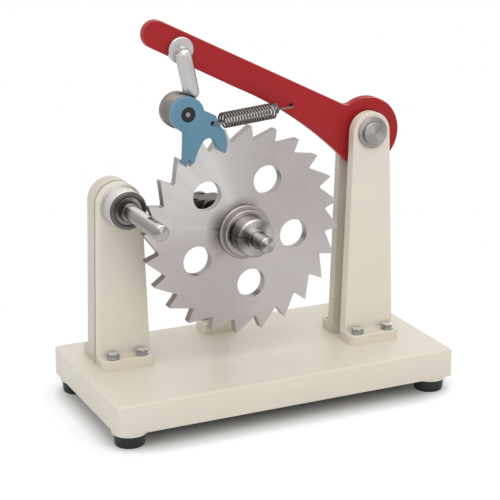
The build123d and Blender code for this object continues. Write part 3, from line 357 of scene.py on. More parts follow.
@dataclass(frozen=True)
class TurnedSteel:
    """Bare steel from the lathe: fine rings about one axis, with soft clouds in its shine.

    rim is a radius and the colour beyond it, and side a Y and the colour behind it. Behind one more
    Y everything turns one dark colour, a painted shade; sectors are painted highlights and reflections.
    """

    name: str
    colour: Colour
    axis: Pair
    roughness: float
    sectors: Tuple[Sector, ...] = ()
    ring_mm: float = 0.35
    ring_depth_mm: float = 0.004
    rim: Optional[Tuple[float, Colour]] = None
    side: Optional[Tuple[float, Colour]] = None
    painted_shade_from: Optional[float] = None
    painted_shade_colour: Colour = (0.09, 0.08, 0.074)

    def make(self) -> bpy.types.Material:
        """Build the material.

        Returns:
            The material.
        """
        bench = Bench(bpy.data.materials.new(self.name))
        x, y, z = bench.axes()
        dx, dz = x - self.axis[0], z - self.axis[1]
        radius = (dx * dx + dz * dz).root()
        rings = bench.noise(bench.vector(radius, y, 0.0), 1.0 / self.ring_mm, 2.0, 0.6)
        bands = bench.noise(bench.vector(radius, y, 0.0), 0.22, 2.0, 0.6).ramp(0.3, 0.7)
        clouds = bench.noise(bench.place(), 28.0, 3.0, 0.6).ramp(0.3, 0.75)
        colour = bench.mix(clouds * 0.6 + bands * 0.3, self.colour, tuple(0.86 * c for c in self.colour))
        # Painted highlights and painted reflections, one fan each.
        for sector in self.sectors:
            colour = sector.lay(bench, colour, dx, dz, radius)
        if self.rim:
            colour = bench.mix(radius.ramp(self.rim[0], self.rim[0] + 1.0) * 0.85, colour, self.rim[1])
        if self.side:
            colour = bench.mix(y.ramp(self.side[0], self.side[0] + 0.3) * 0.9, colour, self.side[1])
        # Painted shade: everything behind the given Y takes one dark colour.
        if self.painted_shade_from is not None:
            colour = bench.mix(y.ramp(self.painted_shade_from, self.painted_shade_from + 2.0), colour, self.painted_shade_colour)
        rough = rings * 0.10 + clouds * 0.06 + (self.roughness - 0.08)
        return bench.finish(
            Base_Color=colour, Metallic=1.0, Roughness=rough, Normal=bench.bump(rings, self.ring_depth_mm)
        )


@dataclass(frozen=True)
class DrawnSteel:
    """Bar, wire or plated steel: fine streaks along one direction and small spangles.

    eye is a radius about the pawl's axis and the colour within it, and top is a painted highlight on what
    faces up.
    """

    name: str
    colour: Colour
    dark: Colour
    roughness: float
    stretch: Point
    metallic: float = 1.0
    depth_mm: float = 0.004
    grain: float = 120.0
    eye: Optional[Tuple[float, Colour]] = None
    top: Optional[Colour] = None

    def make(self) -> bpy.types.Material:
        """Build the material.

        Returns:
            The material.
        """
        bench = Bench(bpy.data.materials.new(self.name))
        x, y, z = bench.axes()
        along = bench.vector(x * self.stretch[0], y * self.stretch[1], z * self.stretch[2])
        streaks = bench.noise(along, 1.6, 3.0, 0.6)
        clouds = bench.noise(bench.place(), self.grain, 3.0, 0.6).ramp(0.3, 0.75)
        colour = bench.mix(streaks.ramp(0.25, 0.8) * 0.6 + clouds * 0.3, self.colour, self.dark)
        # Painted highlight on faces that look up.
        if self.top:
            colour = bench.mix(bench.facing((0.0, 0.0, 1.0)).ramp(0.5, 0.95) * 0.85, colour, self.top)
        if self.eye:
            dx, dz = x - PAWL_AXIS[0], z - PAWL_AXIS[1]
            radius = (dx * dx + dz * dz).root()
            colour = bench.mix(radius.ramp(self.eye[0] + 0.4, self.eye[0]), colour, self.eye[1])
        rough = streaks * 0.16 + clouds * 0.08 + (self.roughness - 0.11)
        return bench.finish(
            Base_Color=colour, Metallic=self.metallic, Roughness=rough,
            Normal=bench.bump(streaks, self.depth_mm),
        )


@dataclass(frozen=True)
class Rubber:
    """Moulded black rubber with a fine grain and a dusty bloom."""

    name: str
    colour: Colour
    bloom: Colour

    def make(self) -> bpy.types.Material:
        """Build the material.

        Returns:
            The material.
        """
        bench = Bench(bpy.data.materials.new(self.name))
        place = bench.place()
        dust = bench.noise(place, 60.0, 4.0, 0.65).ramp(0.45, 0.8)
        grain = bench.noise(place, 1400.0, 2.0, 0.6)
        return bench.finish(
            Base_Color=bench.mix(dust * 0.5, self.colour, self.bloom), Roughness=dust * 0.2 + 0.42,
            Normal=bench.bump(grain, 0.03),
        )


# --- finishes of this object ---
class Finish(Enum):
    """Every finish on the demonstrator."""

    CREAM = Enamel("cream_enamel", (0.8, 0.735, 0.62), (0.775, 0.71, 0.595), 0.42, 1.1, 0.012, 0.15)
    # A darker copy of the cream: painted shade for the back brackets, whose faces lie in the slits.
    CREAM_IN_PAINTED_SHADE = Enamel("cream_enamel_in_painted_shade", (0.66, 0.6, 0.5), (0.63, 0.57, 0.475), 0.42, 1.1, 0.012, 0.15)
    # The red enamel carries a painted highlight on the bevel along the lever's upper edge.
    RED = Enamel(
        "red_enamel", (0.42, 0.02, 0.024), (0.365, 0.017, 0.02), 0.42, 0.9, 0.014, 0.0, 0.18,
        ((0.26, -0.7, 0.66), (0.86, 0.42, 0.4)))
    BLUE = Enamel("blue_enamel", (0.125, 0.275, 0.385), (0.105, 0.24, 0.335), 0.44, 0.7, 0.014, 0.1, 0.35)
    # The wheel's sectors are painted highlights and painted reflections; the two dark fans next to the hub
    # are a painted reflection of it.
    WHEEL = TurnedSteel(
        "ground_wheel_steel", (0.525, 0.475, 0.46), WHEEL_AXIS, 0.36, (
            Sector(128.0, 60.0, (0.8, 0.775, 0.76), 0.8), Sector(-48.0, 50.0, (0.64, 0.6, 0.585), 0.5),
            Sector(88.0, 26.0, (0.4, 0.36, 0.35), 0.5), Sector(-120.0, 40.0, (0.44, 0.4, 0.385), 0.4),
            Sector(172.0, 60.0, (0.05, 0.042, 0.04), 1.0, (26.0, 40.0)),
            Sector(100.0, 45.0, (0.12, 0.105, 0.1), 0.8, (26.0, 34.0)),
        ), 0.5, 0.006, side=(-24.7, (0.36, 0.33, 0.315)))
    # The hub's sectors are painted highlights and painted reflections, the darkest a painted reflection on
    # its left; the steel behind the wheel is painted shade.
    HUB = TurnedSteel(
        "turned_hub_steel", (0.46, 0.43, 0.415), WHEEL_AXIS, 0.33, (
            Sector(172.0, 52.0, (0.025, 0.02, 0.019), 1.0), Sector(118.0, 28.0, (0.8, 0.77, 0.75), 0.7),
            Sector(62.0, 28.0, (0.1, 0.085, 0.08), 0.85), Sector(12.0, 26.0, (0.56, 0.53, 0.51), 0.6),
            Sector(-60.0, 50.0, (0.24, 0.215, 0.205), 0.7),
        ), rim=(19.6, (0.4, 0.365, 0.35)), painted_shade_from=-14.0)
    # The spindle's sectors are painted highlights and painted reflections, and its dark rim colours the
    # shoulder inside the bearing as painted shade.
    SPINDLE = TurnedSteel(
        "turned_spindle_steel", (0.5, 0.46, 0.445), SPINDLE_AXIS, 0.28, (
            Sector(160.0, 44.0, (0.13, 0.115, 0.11), 0.8), Sector(100.0, 26.0, (0.86, 0.82, 0.8), 0.7),
            Sector(45.0, 26.0, (0.16, 0.145, 0.14), 0.7),
        ), rim=(7.7, (0.06, 0.05, 0.047)))
    # The housing's sector is a painted highlight.
    HOUSING = TurnedSteel(
        "satin_housing_steel", (0.62, 0.585, 0.56), SPINDLE_AXIS, 0.46, (
            Sector(95.0, 60.0, (0.86, 0.83, 0.81), 0.7),))
    RACE = TurnedSteel("ground_race_steel", (0.15, 0.14, 0.135), SPINDLE_AXIS, 0.26)
    # The shield's sectors are a painted highlight and a painted reflection.
    SHIELD = TurnedSteel(
        "pressed_shield_steel", (0.24, 0.222, 0.212), SPINDLE_AXIS, 0.34, (
            Sector(30.0, 50.0, (0.52, 0.49, 0.47), 0.8), Sector(150.0, 60.0, (0.05, 0.045, 0.042), 0.8),
        ))
    # The pivot's sectors are painted highlights and a painted reflection.
    PIVOT = TurnedSteel(
        "turned_pivot_steel", (0.36, 0.335, 0.322), LEVER_AXIS, 0.32, (
            Sector(135.0, 50.0, (0.62, 0.59, 0.575), 0.7), Sector(-40.0, 40.0, (0.52, 0.49, 0.475), 0.6),
            Sector(45.0, 30.0, (0.16, 0.145, 0.14), 0.5)))
    CARRIER = DrawnSteel(
        "drawn_carrier_steel", (0.68, 0.66, 0.64), (0.46, 0.44, 0.43), 0.3, (1.0, 0.3, 0.05),
        eye=(17.3, (0.23, 0.2, 0.182)))
    # The zinc's top colour is a painted highlight on the faces of heads, nuts and washers that look up.
    ZINC = DrawnSteel(
        "zinc_plate", (0.5, 0.51, 0.53), (0.07, 0.075, 0.08), 0.18, (1.2, 1.2, 1.2), grain=260.0,
        top=(0.93, 0.94, 0.95))
    WIRE = DrawnSteel("spring_wire", (0.27, 0.245, 0.228), (0.1, 0.09, 0.085), 0.3, (0.4, 1.0, 1.0))
    BLACK = DrawnSteel(
        "blackened_steel", (0.016, 0.015, 0.016), (0.006, 0.006, 0.006), 0.34, (1.0, 1.0, 1.0), 0.3)
    # Black iron enamel for the bearing block, made this dark so that it also stands in for the shade behind
    # the wheel.
    IRON_BLACK_AND_SHADE = Enamel("black_iron_enamel_and_shade", (0.085, 0.07, 0.06), (0.06, 0.05, 0.044), 0.42, 1.4, 0.03, 0.1)
    BRONZE = DrawnSteel("bored_bronze", (0.62, 0.42, 0.2), (0.4, 0.26, 0.12), 0.32, (1.0, 0.2, 1.0))
    RUBBER = Rubber("black_rubber", (0.005, 0.005, 0.006), (0.012, 0.012, 0.014))

    @cached_property
    def material(self) -> bpy.types.Material:
        """Its material, made once."""
        return self.value.make()


# --- surfaces ---
class Edge(Enum):
    """Width in millimetres of the softened edges on a dressed solid."""

    NONE = 0.0
    FINE = 0.15
    THIN = 0.3
    BROAD = 0.5
    ROUND = 1.0


def sheet_faces(rows: int, columns: int, first: int, wrap: bool) -> np.ndarray:
    """Quads of a grid of rows x columns vertices, numbered row by row.

    Args:
        rows: Number of rows.
        columns: Number of columns.
        first: Number of the first vertex.
        wrap: True where the last column meets the first.

    Returns:
        An array of four vertex numbers per face.
    """
    row, column = np.meshgrid(np.arange(rows - 1), np.arange(columns if wrap else columns - 1), indexing="ij")
    here = first + row * columns + column
    right = first + row * columns + (column + 1) % columns
    return np.stack([here, right, right + columns, here + columns], axis=-1).reshape(-1, 4)


def around(axis: Sequence[Any], radius: Any, angle: np.ndarray, height: Any) -> np.ndarray:
    """Rows of points at axis + radius (cos angle, sin angle), at a height."""
    x, y = axis[0] + radius * np.cos(angle), axis[1] + radius * np.sin(angle)
    return np.stack([x, y, np.broadcast_to(height, x.shape)], -1)


@dataclass
class Skin:
    """Collects computed surfaces and makes one closed mesh object, of this name, of them."""

    name: str
    points: List[np.ndarray] = field(default_factory=list)
    faces: List[np.ndarray] = field(default_factory=list)
    count: int = 0

    def grid(self, points: np.ndarray, wrap: bool = True) -> "Skin":
        """Add one surface.

        Args:
            points: Positions in millimetres, rows x columns x 3.
            wrap: True where the last column meets the first.

        Returns:
            This skin.
        """
        rows, columns = points.shape[:2]
        self.faces.append(sheet_faces(rows, columns, self.count, wrap))
        self.points.append(points.reshape(-1, 3) * MM)
        self.count += rows * columns
        return self

    @staticmethod
    def lathe(profile: Profile, axis: Pair, steps: int) -> np.ndarray:
        """A (radius, height) profile turned about an upright axis: x + r cos a, y + r sin a, height."""
        line, angle = np.asarray(profile, float), np.linspace(0.0, TAU, steps, endpoint=False)
        return around(axis, line[:, :1], angle, line[:, 1:])

    def turned(self, profile: Profile, axis: Pair, steps: int = 96) -> "Skin":
        """Add a (radius, y) profile turned about an axis along Y: x + r cos a, y, z + r sin a."""
        return self.grid(self.lathe(profile, axis, steps)[..., [0, 2, 1]])

    def upright(self, profile: Profile, axis: Pair, steps: int = 96) -> "Skin":
        """Add a (radius, z) profile turned about an upright axis: x + r cos a, y + r sin a, z."""
        return self.grid(self.lathe(profile, axis, steps))

    def tube(self, path: np.ndarray, side: np.ndarray, radius: float, steps: int = 14) -> "Skin":
        """Add a round wire: path + radius (cos a n + sin a b), where n and b cross the path.

        Args:
            path: Centre line in millimetres, n x 3.
            side: A direction never in line with the path, one row or one for each point.
            radius: Wire radius.
            steps: Points round the wire.

        Returns:
            This skin.
        """
        forward = np.gradient(path, axis=0)
        forward /= np.linalg.norm(forward, axis=1, keepdims=True)
        normal = np.cross(forward, np.broadcast_to(side, path.shape))
        normal /= np.linalg.norm(normal, axis=1, keepdims=True)
        other = np.cross(forward, normal)
        angle = np.linspace(0.0, TAU, steps, endpoint=False)[None, :, None]
        rim = path[:, None] + radius * (np.cos(angle) * normal[:, None] + np.sin(angle) * other[:, None])
        ends = [np.repeat(path[k : k + 1, None], steps, 1) for k in (0, -1)]
        return self.grid(np.concatenate([ends[0], rim, ends[1]]))

    def stand_in(self, node: str, finish: Finish, sharp_deg: float = 35.0) -> None:
        """Weld the surfaces to one piece that replaces a solid.

        Args:
            node: The solid's name.
            finish: The piece's finish.
            sharp_deg: Edges that turn more than this stay sharp.
        """
        mesh = bpy.data.meshes.new(self.name)
        mesh.from_pydata(np.concatenate(self.points).tolist(), [], np.concatenate(self.faces).tolist())
        weld(mesh, sharp_deg)
        made = seat(mesh, self.name, finish, node)
        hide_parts(node)


def weld(mesh: bpy.types.Mesh, sharp_deg: float) -> None:
    """Merge doubles, close poles, turn the faces outwards and shade smooth between sharp edges.

    Args:
        mesh: The mesh, which is changed.
        sharp_deg: Edges that turn more than this stay sharp.
    """
    work = bmesh.new()
    work.from_mesh(mesh)
    bmesh.ops.remove_doubles(work, verts=work.verts, dist=2e-6)
    bmesh.ops.dissolve_degenerate(work, edges=work.edges, dist=1e-7)
    bmesh.ops.recalc_face_normals(work, faces=work.faces)
    for face in work.faces:
        face.smooth = True
    work.to_mesh(mesh)
    work.free()
    mesh.set_sharp_from_angle(angle=math.radians(sharp_deg))


def linked(name: str, data: Any) -> bpy.types.Object:
    """Make an object of new data and link it to the scene.

    Args:
        name: The object's name.
        data: A mesh, light or camera.

    Returns:
        The object.
    """
    made = bpy.data.objects.new(name, data)
    bpy.context.scene.collection.objects.link(made)
    return made


def seat(mesh: bpy.types.Mesh, name: str, finish: Finish, node: str) -> bpy.types.Object:
    """Link a mesh as an object at the origin, on the body of a solid.

    Args:
        mesh: The mesh.
        name: The object's name.
        finish: Its only finish.
        node: The solid's name.

    Returns:
        The object.
    """
    body, slot = body_of(node), slot_of(node)
    made = linked(name, mesh)
    mesh.materials.clear()
    mesh.materials.append(finish.material)
    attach(made, body)
    LOG.info("piece %s on %s", name, body)
    return made


def body_of(node: str) -> str:
    """The body that holds a node."""
    return next(b for b, members in frame["record"]["behaviour"]["bodies"].items() if node in members)


def slot_of(node: str) -> str:
    """The record's material slot of a node."""
    return next(s["material_slot"] for s in frame["record"]["subparts"] if s["node"] == node)


@dataclass(frozen=True)
class Dress:
    """A solid's finish and softened edges; edges that turn more than sharp_deg are softened."""

    node: str
    finish: Finish
    edge: Edge = Edge.NONE
    sharp_deg: float = 28.0

    def refine(self) -> None:
        """Stand a welded, smooth-shaded copy with softened edges in for the solid."""
        node = self.node
        mesh = frame["nodes"][node].data.copy()
        work = bmesh.new()
        work.from_mesh(mesh)
        bmesh.ops.remove_doubles(work, verts=work.verts, dist=1e-6)
        if self.edge is not Edge.NONE:
            bmesh.ops.dissolve_limit(work, angle_limit=math.radians(0.3), verts=work.verts, edges=work.edges)
        work.to_mesh(mesh)
        work.free()
        weld(mesh, self.sharp_deg)
        made = seat(mesh, f"{node}_finished", self.finish, node)
        if self.edge is not Edge.NONE:
            bevel = made.modifiers.new("soft_edges", "BEVEL")
            bevel.width, bevel.segments = self.edge.value * MM, 2
            bevel.limit_method, bevel.angle_limit = "ANGLE", math.radians(self.sharp_deg)
            bevel.harden_normals = bevel.use_clamp_overlap = True
        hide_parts(node)


def rounded(profile: Profile, radius: float, steps: int) -> List[Pair]:
    """Round the inner corners of an open profile.

    Each corner becomes points on the quadratic curve from one arm to the other.

    Args:
        profile: The (radius, height) points.
        radius: How far along each arm the curve reaches, at most 45% of the arm.
        steps: Points on each curve.

    Returns:
        The new profile.
    """
    line = [np.asarray(p, float) for p in profile]
    out = [tuple(line[0])]
    for before, here, after in zip(line, line[1:], line[2:]):
        back, ahead = before - here, after - here
        a = here + back * min(0.45, radius / max(1e-9, np.hypot(*back)))
        b = here + ahead * min(0.45, radius / max(1e-9, np.hypot(*ahead)))
        share = np.linspace(0.0, 1.0, steps)[:, None]
        curve = (1 - share) ** 2 * a + 2 * share * (1 - share) * here + share**2 * b
        out += [tuple(p) for p in curve]
    return out + [tuple(line[-1])]


def ring(inner: float, outer: float, low: float, high: float, radius: float, steps: int) -> List[Pair]:
    """Closed profile of a ring from low to high, with its outer corners rounded."""
    line = rounded([(inner, low), (outer, low), (outer, high), (inner, high)], radius, steps)
    return line + [line[0]]


# --- sub-assemblies ---
@dataclass
class Tray:
    """Folded tray on four rubber feet."""

    foot_x: float = 158.0
    foot_y: float = 72.0
    foot_radius: float = 15.0
    foot_bottom_radius: float = 13.8
    foot_height: float = 12.0
    recess_radius: float = 6.0
    recess_depth: float = 6.0
    hole_radius: float = 3.3
    plate_radius: float = 16.8
    plate_top: float = 15.0
    length: float = 350.0
    depth: float = 178.0
    top: float = 43.5
    sheet: float = 2.5
    lip: float = 32.0
    corner: float = 3.2
    edge: float = 2.4
    flat_inset: float = 20.0
    core: float = 0.5

    def places(self) -> Dict[str, Pair]:
        """The middle of each foot, by name."""
        x, y = self.foot_x, self.foot_y
        return {"front_left": (-x, -y), "front_right": (x, -y), "back_left": (-x, y), "back_right": (x, y)}

    def foot(self, name: str) -> None:
        """A moulded foot: tapered side, rounded sole and lip, and the screw's recess.

        Args:
            name: Which foot.
        """
        outer = rounded(
            [(self.recess_radius, 0.0), (self.foot_bottom_radius, 0.0),
             (self.foot_radius, self.foot_height - 1.6), (self.foot_radius, self.foot_height),
             (self.hole_radius, self.foot_height)], 1.6, 5)
        inner = [(self.hole_radius, self.recess_depth), (self.recess_radius, self.recess_depth),
                 (self.recess_radius, 0.0)]
        skin = Skin(f"rubber_foot_{name}").upright(outer + inner, self.places()[name])
        skin.stand_in(f"foot_{name}", Finish.RUBBER)

    def loop(self, inset: float, corner: float, level: float) -> np.ndarray:
        """A rounded rectangle: each corner's centre + corner (cos a, sin a), at one level.

        Args:
            inset: Distance in from the tray's outer faces.
            corner: Corner radius.
            level: Height.

        Returns:
            One row of points.
        """
        steps = 9
        quarter = np.linspace(0.0, QUARTER, steps)
        angle = np.concatenate([quarter + k * QUARTER for k in range(4)])
        sign_x = np.repeat([1.0, -1.0, -1.0, 1.0], steps)
        sign_y = np.repeat([1.0, 1.0, -1.0, -1.0], steps)
        x, y = sign_x * (self.length / 2 - inset - corner), sign_y * (self.depth / 2 - inset - corner)
        return around((x, y), corner, angle, level)

    def shell(self) -> np.ndarray:
        """The folded sheet: out over the top and its rolled edge, down, under the lip and back inside.

        Each row is a rounded rectangle, and the bend's rows follow a quarter circle.

        Returns:
            The grid of points.
        """
        bend = np.linspace(QUARTER, 0.0, 7)
        low, inner, middle = self.plate_top, self.top - self.sheet, self.depth / 2 - self.core
        rows = [(middle, 0.4, self.top), (self.flat_inset, 2.0, self.top)]
        rows += [
            (self.edge * (1 - math.cos(a)), self.corner, self.top - self.edge * (1 - math.sin(a)))
            for a in bend
        ]
        rows += [(0.0, self.corner, low + 0.8), (0.25, self.corner, low + 0.25), (0.8, self.corner, low)]
        rows += [(self.lip, 1.0, low), (self.lip, 1.0, low + self.sheet)]
        rows += [(self.sheet, 1.0, low + self.sheet), (self.sheet, 1.0, inner)]
        rows += [(self.flat_inset, 1.0, inner), (middle, 0.4, inner)]
        loops = [self.loop(*row) for row in rows]
        first, last = (np.repeat(loops[k].mean(0, keepdims=True), loops[k].shape[0], 0) for k in (0, -1))
        return np.array([first, *loops, last])

    def build(self) -> None:
        """Make the tray, its feet and their plates."""
        Skin("folded_tray").grid(self.shell()).stand_in("base_tray", Finish.CREAM, 40.0)
        for name in self.places():
            self.foot(name)
        rim = ring(self.hole_radius, self.plate_radius, self.foot_height, self.plate_top, 0.8, 4)
        skin = Skin("foot_plates_pressed")
        for place in self.places().values():
            skin.upright(rim, place)
        skin.stand_in("foot_plates", Finish.CREAM)


@dataclass
class Fasteners:
    """Hexagon bolts, washers, nuts and foot screws.

    groups gives each bracket's X, half the spacing of its bolts along X, and their Y. point is
    the length of a thread's pointed end and the depth that it falls.
    """

    groups: Tuple[Tuple[float, float, Tuple[float, ...]], ...] = (
        (115.5, 16.5, (-33.0, 18.5)), (-129.0, 14.5, (5.5, 53.5)), (-9.5, 10.0, (73.0,)),
    )
    shank: float = 3.0
    flats: float = 10.0
    head_top: float = 59.1
    head_bottom: float = 55.1
    washer_radius: float = 6.2
    washer_bottom: float = 53.5
    nut_top: float = 41.0
    nut_bottom: float = 36.0
    bolt_end: float = 33.5
    pitch: float = 1.0
    thread_depth: float = 0.3
    point: Pair = (0.8, 0.5)
    corner_steps: int = 8
    crown_share: float = 0.95
    chamfer_deg: float = 28.0
    foot_head_bottom: float = 2.0
    foot_head_top: float = 6.0
    foot_screw_top: float = 25.0
    foot_nut_bottom: float = 17.5
    foot_nut_top: float = 22.5

    def bolts(self) -> List[Pair]:
        """X and Y of every bracket bolt."""
        return [(x + s * half, y) for x, half, rows in self.groups for s in (-1, 1) for y in rows]

    def six_sided(
        self, axis: Pair, turn: float, low: float, high: float, bore: float, both: bool
    ) -> np.ndarray:
        """A hexagon head or nut with its corners chamfered on top, or on both faces.

        The side's radius is half the flats over the cosine of the angle from the nearest flat's
        middle, and the chamfer falls in proportion to what the corner stands out past the crown.

        Args:
            axis: Its X and Y.
            turn: Turn of the hexagon in radians.
            low: Height of its underside.
            high: Height of its top.
            bore: Radius of its hole, or 0.
            both: True where the underside is chamfered too.

        Returns:
            The grid of points.
        """
        steps = 6 * self.corner_steps
        angle = np.linspace(0.0, TAU, steps, endpoint=False)
        side = (self.flats / 2) / np.cos((angle % (TAU / 6)) - TAU / 12)
        crown = self.crown_share * self.flats / 2
        fall = (side - crown) * math.tan(math.radians(self.chamfer_deg))
        rows = [(bore, high), (crown, high), (side, high - fall)]
        rows += [(side, low + fall), (crown, low)] if both else [(side, low)]
        rows += [(bore, low), (bore, high)]
        return np.array([around(axis, radius, angle + turn, level) for radius, level in rows])

    def thread(self, axis: Pair, low: float, high: float, radius: float) -> np.ndarray:
        """A screw thread: the radius falls by a triangle wave of height / pitch - angle / turn.

        Args:
            axis: Its X and Y.
            low: Lower end.
            high: Upper end.
            radius: Outer radius.

        Returns:
            The grid of points.
        """
        steps = 32
        angle = np.linspace(0.0, TAU, steps, endpoint=False)
        level = np.linspace(low, high, int((high - low) / self.pitch * 6) + 1)[:, None]
        phase = (level / self.pitch - angle[None, :] / TAU) % 1.0
        wave = np.abs(2.0 * phase - 1.0)
        point = np.clip((level - low) / self.point[0], 0.0, 1.0)
        r = radius - self.thread_depth * (1.0 - wave) - self.point[1] * (1.0 - point)
        caps = [np.repeat(np.array([[[*axis, end]]]), steps, 1) for end in (low, high)]
        return np.concatenate([caps[0], around(axis, r, angle, level), caps[1]])

    def build(self) -> None:
        """Make the bolts, washers and nuts of the brackets and feet."""
        bore = self.shank - 0.2
        heads, washers, nuts = Skin("hexagon_bolts"), Skin("plain_washers"), Skin("hexagon_nuts")
        rim = ring(self.shank + 0.3, self.washer_radius, self.washer_bottom, self.head_bottom, 0.4, 3)
        for k, axis in enumerate(self.bolts()):
            turn = 0.35 + 1.9 * k
            heads.grid(self.six_sided(axis, turn, self.head_bottom, self.head_top, 0.0, False))
            heads.grid(self.thread(axis, self.bolt_end, self.head_bottom + 0.5, self.shank))
            washers.upright(rim, axis, 48)
            nuts.grid(self.six_sided(axis, turn + 0.7, self.nut_bottom, self.nut_top, bore, True))
        heads.stand_in("bracket_bolts", Finish.ZINC)
        washers.stand_in("bracket_washers", Finish.ZINC)
        nuts.stand_in("bracket_nuts", Finish.ZINC)
        screws, rims = Skin("foot_screws_threaded"), Skin("foot_nuts_chamfered")
        edge, low, high = self.flats / 2, self.foot_head_bottom, self.foot_head_top
        pan = rounded(
            [(0.0, low), (2.0, low + 0.2), (edge - 0.8, low + 0.2), (edge, low + 1.6), (edge, high),
             (0.0, high)], 0.8, 4)
        for k, axis in enumerate(Tray().places().values()):
            screws.upright(pan, axis, 48)
            screws.grid(self.thread(axis, high - 0.5, self.foot_screw_top, self.shank))
            rims.grid(self.six_sided(axis, 0.5 + k, self.foot_nut_bottom, self.foot_nut_top, bore, True))
        screws.stand_in("foot_screws", Finish.ZINC)
        rims.stand_in("foot_nuts", Finish.ZINC)


@dataclass
class Dressed:
    """A sub-assembly of solids that are dressed one by one."""

    dress: Tuple[Dress, ...] = ()

    def build(self) -> None:
        """Dress each solid in turn."""
        for piece in self.dress:
            piece.refine()


@dataclass
class Uprights(Dressed):
    """The two split uprights and the rear pillar with its bearing block."""

    dress: Tuple[Dress, ...] = (
        # The back brackets wear the darker cream, a painted shade.
        Dress("left_front_bracket", Finish.CREAM), Dress("left_back_bracket", Finish.CREAM_IN_PAINTED_SHADE),
        Dress("right_front_bracket", Finish.CREAM), Dress("right_back_bracket", Finish.CREAM_IN_PAINTED_SHADE),
        Dress("rear_pillar", Finish.CREAM, Edge.BROAD), Dress("bearing_block", Finish.IRON_BLACK_AND_SHADE, Edge.BROAD),
        Dress("block_screws", Finish.ZINC, Edge.THIN), Dress("shaft_bush", Finish.BRONZE),
    )


@dataclass
class LeverPivot(Dressed):
    """Pin, washers, nut and spacers of the lever's pivot."""

    dress: Tuple[Dress, ...] = (
        Dress("pivot_washer_back", Finish.PIVOT, Edge.THIN), Dress("pivot_nut", Finish.ZINC, Edge.BROAD),
        Dress("lever_spacer_front", Finish.PIVOT), Dress("lever_spacer_back", Finish.PIVOT),
    )
    pin: float = 8.0
    head: float = 11.0
    head_front: float = -31.6
    washer_front: float = -28.0
    plate_front: float = -25.5
    washer: float = 15.3
    pin_end: float = 24.0

    def build(self) -> None:
        """Make the pin with its rounded head and the front washer, and dress the rest."""
        line = rounded(
            [(0.0, self.head_front), (self.head, self.head_front), (self.head, self.washer_front),
             (self.pin, self.washer_front)], 1.1, 5)
        line += [(self.pin, self.pin_end - 1.2), (self.pin - 1.2, self.pin_end), (0.0, self.pin_end)]
        Skin("pivot_pin_turned").turned(line, LEVER_AXIS).stand_in("pivot_pin", Finish.PIVOT)
        rim = ring(self.pin, self.washer, self.washer_front, self.plate_front, 0.7, 4)
        Skin("pivot_washer_turned").turned(rim, LEVER_AXIS).stand_in("pivot_washer_front", Finish.PIVOT)
        super().build()


@dataclass
class Lever(Dressed):
    """Hand lever with the boss, stud and hanging pawl carrier."""

    dress: Tuple[Dress, ...] = (
        Dress("lever_arm", Finish.RED, Edge.ROUND), Dress("lever_bush", Finish.BRONZE),
        Dress("lever_boss", Finish.CARRIER), Dress("carrier_stud", Finish.ZINC),
        Dress("carrier_nut", Finish.ZINC, Edge.THIN), Dress("carrier_rod", Finish.CARRIER),
        Dress("pawl_pin", Finish.ZINC, Edge.THIN),
    )


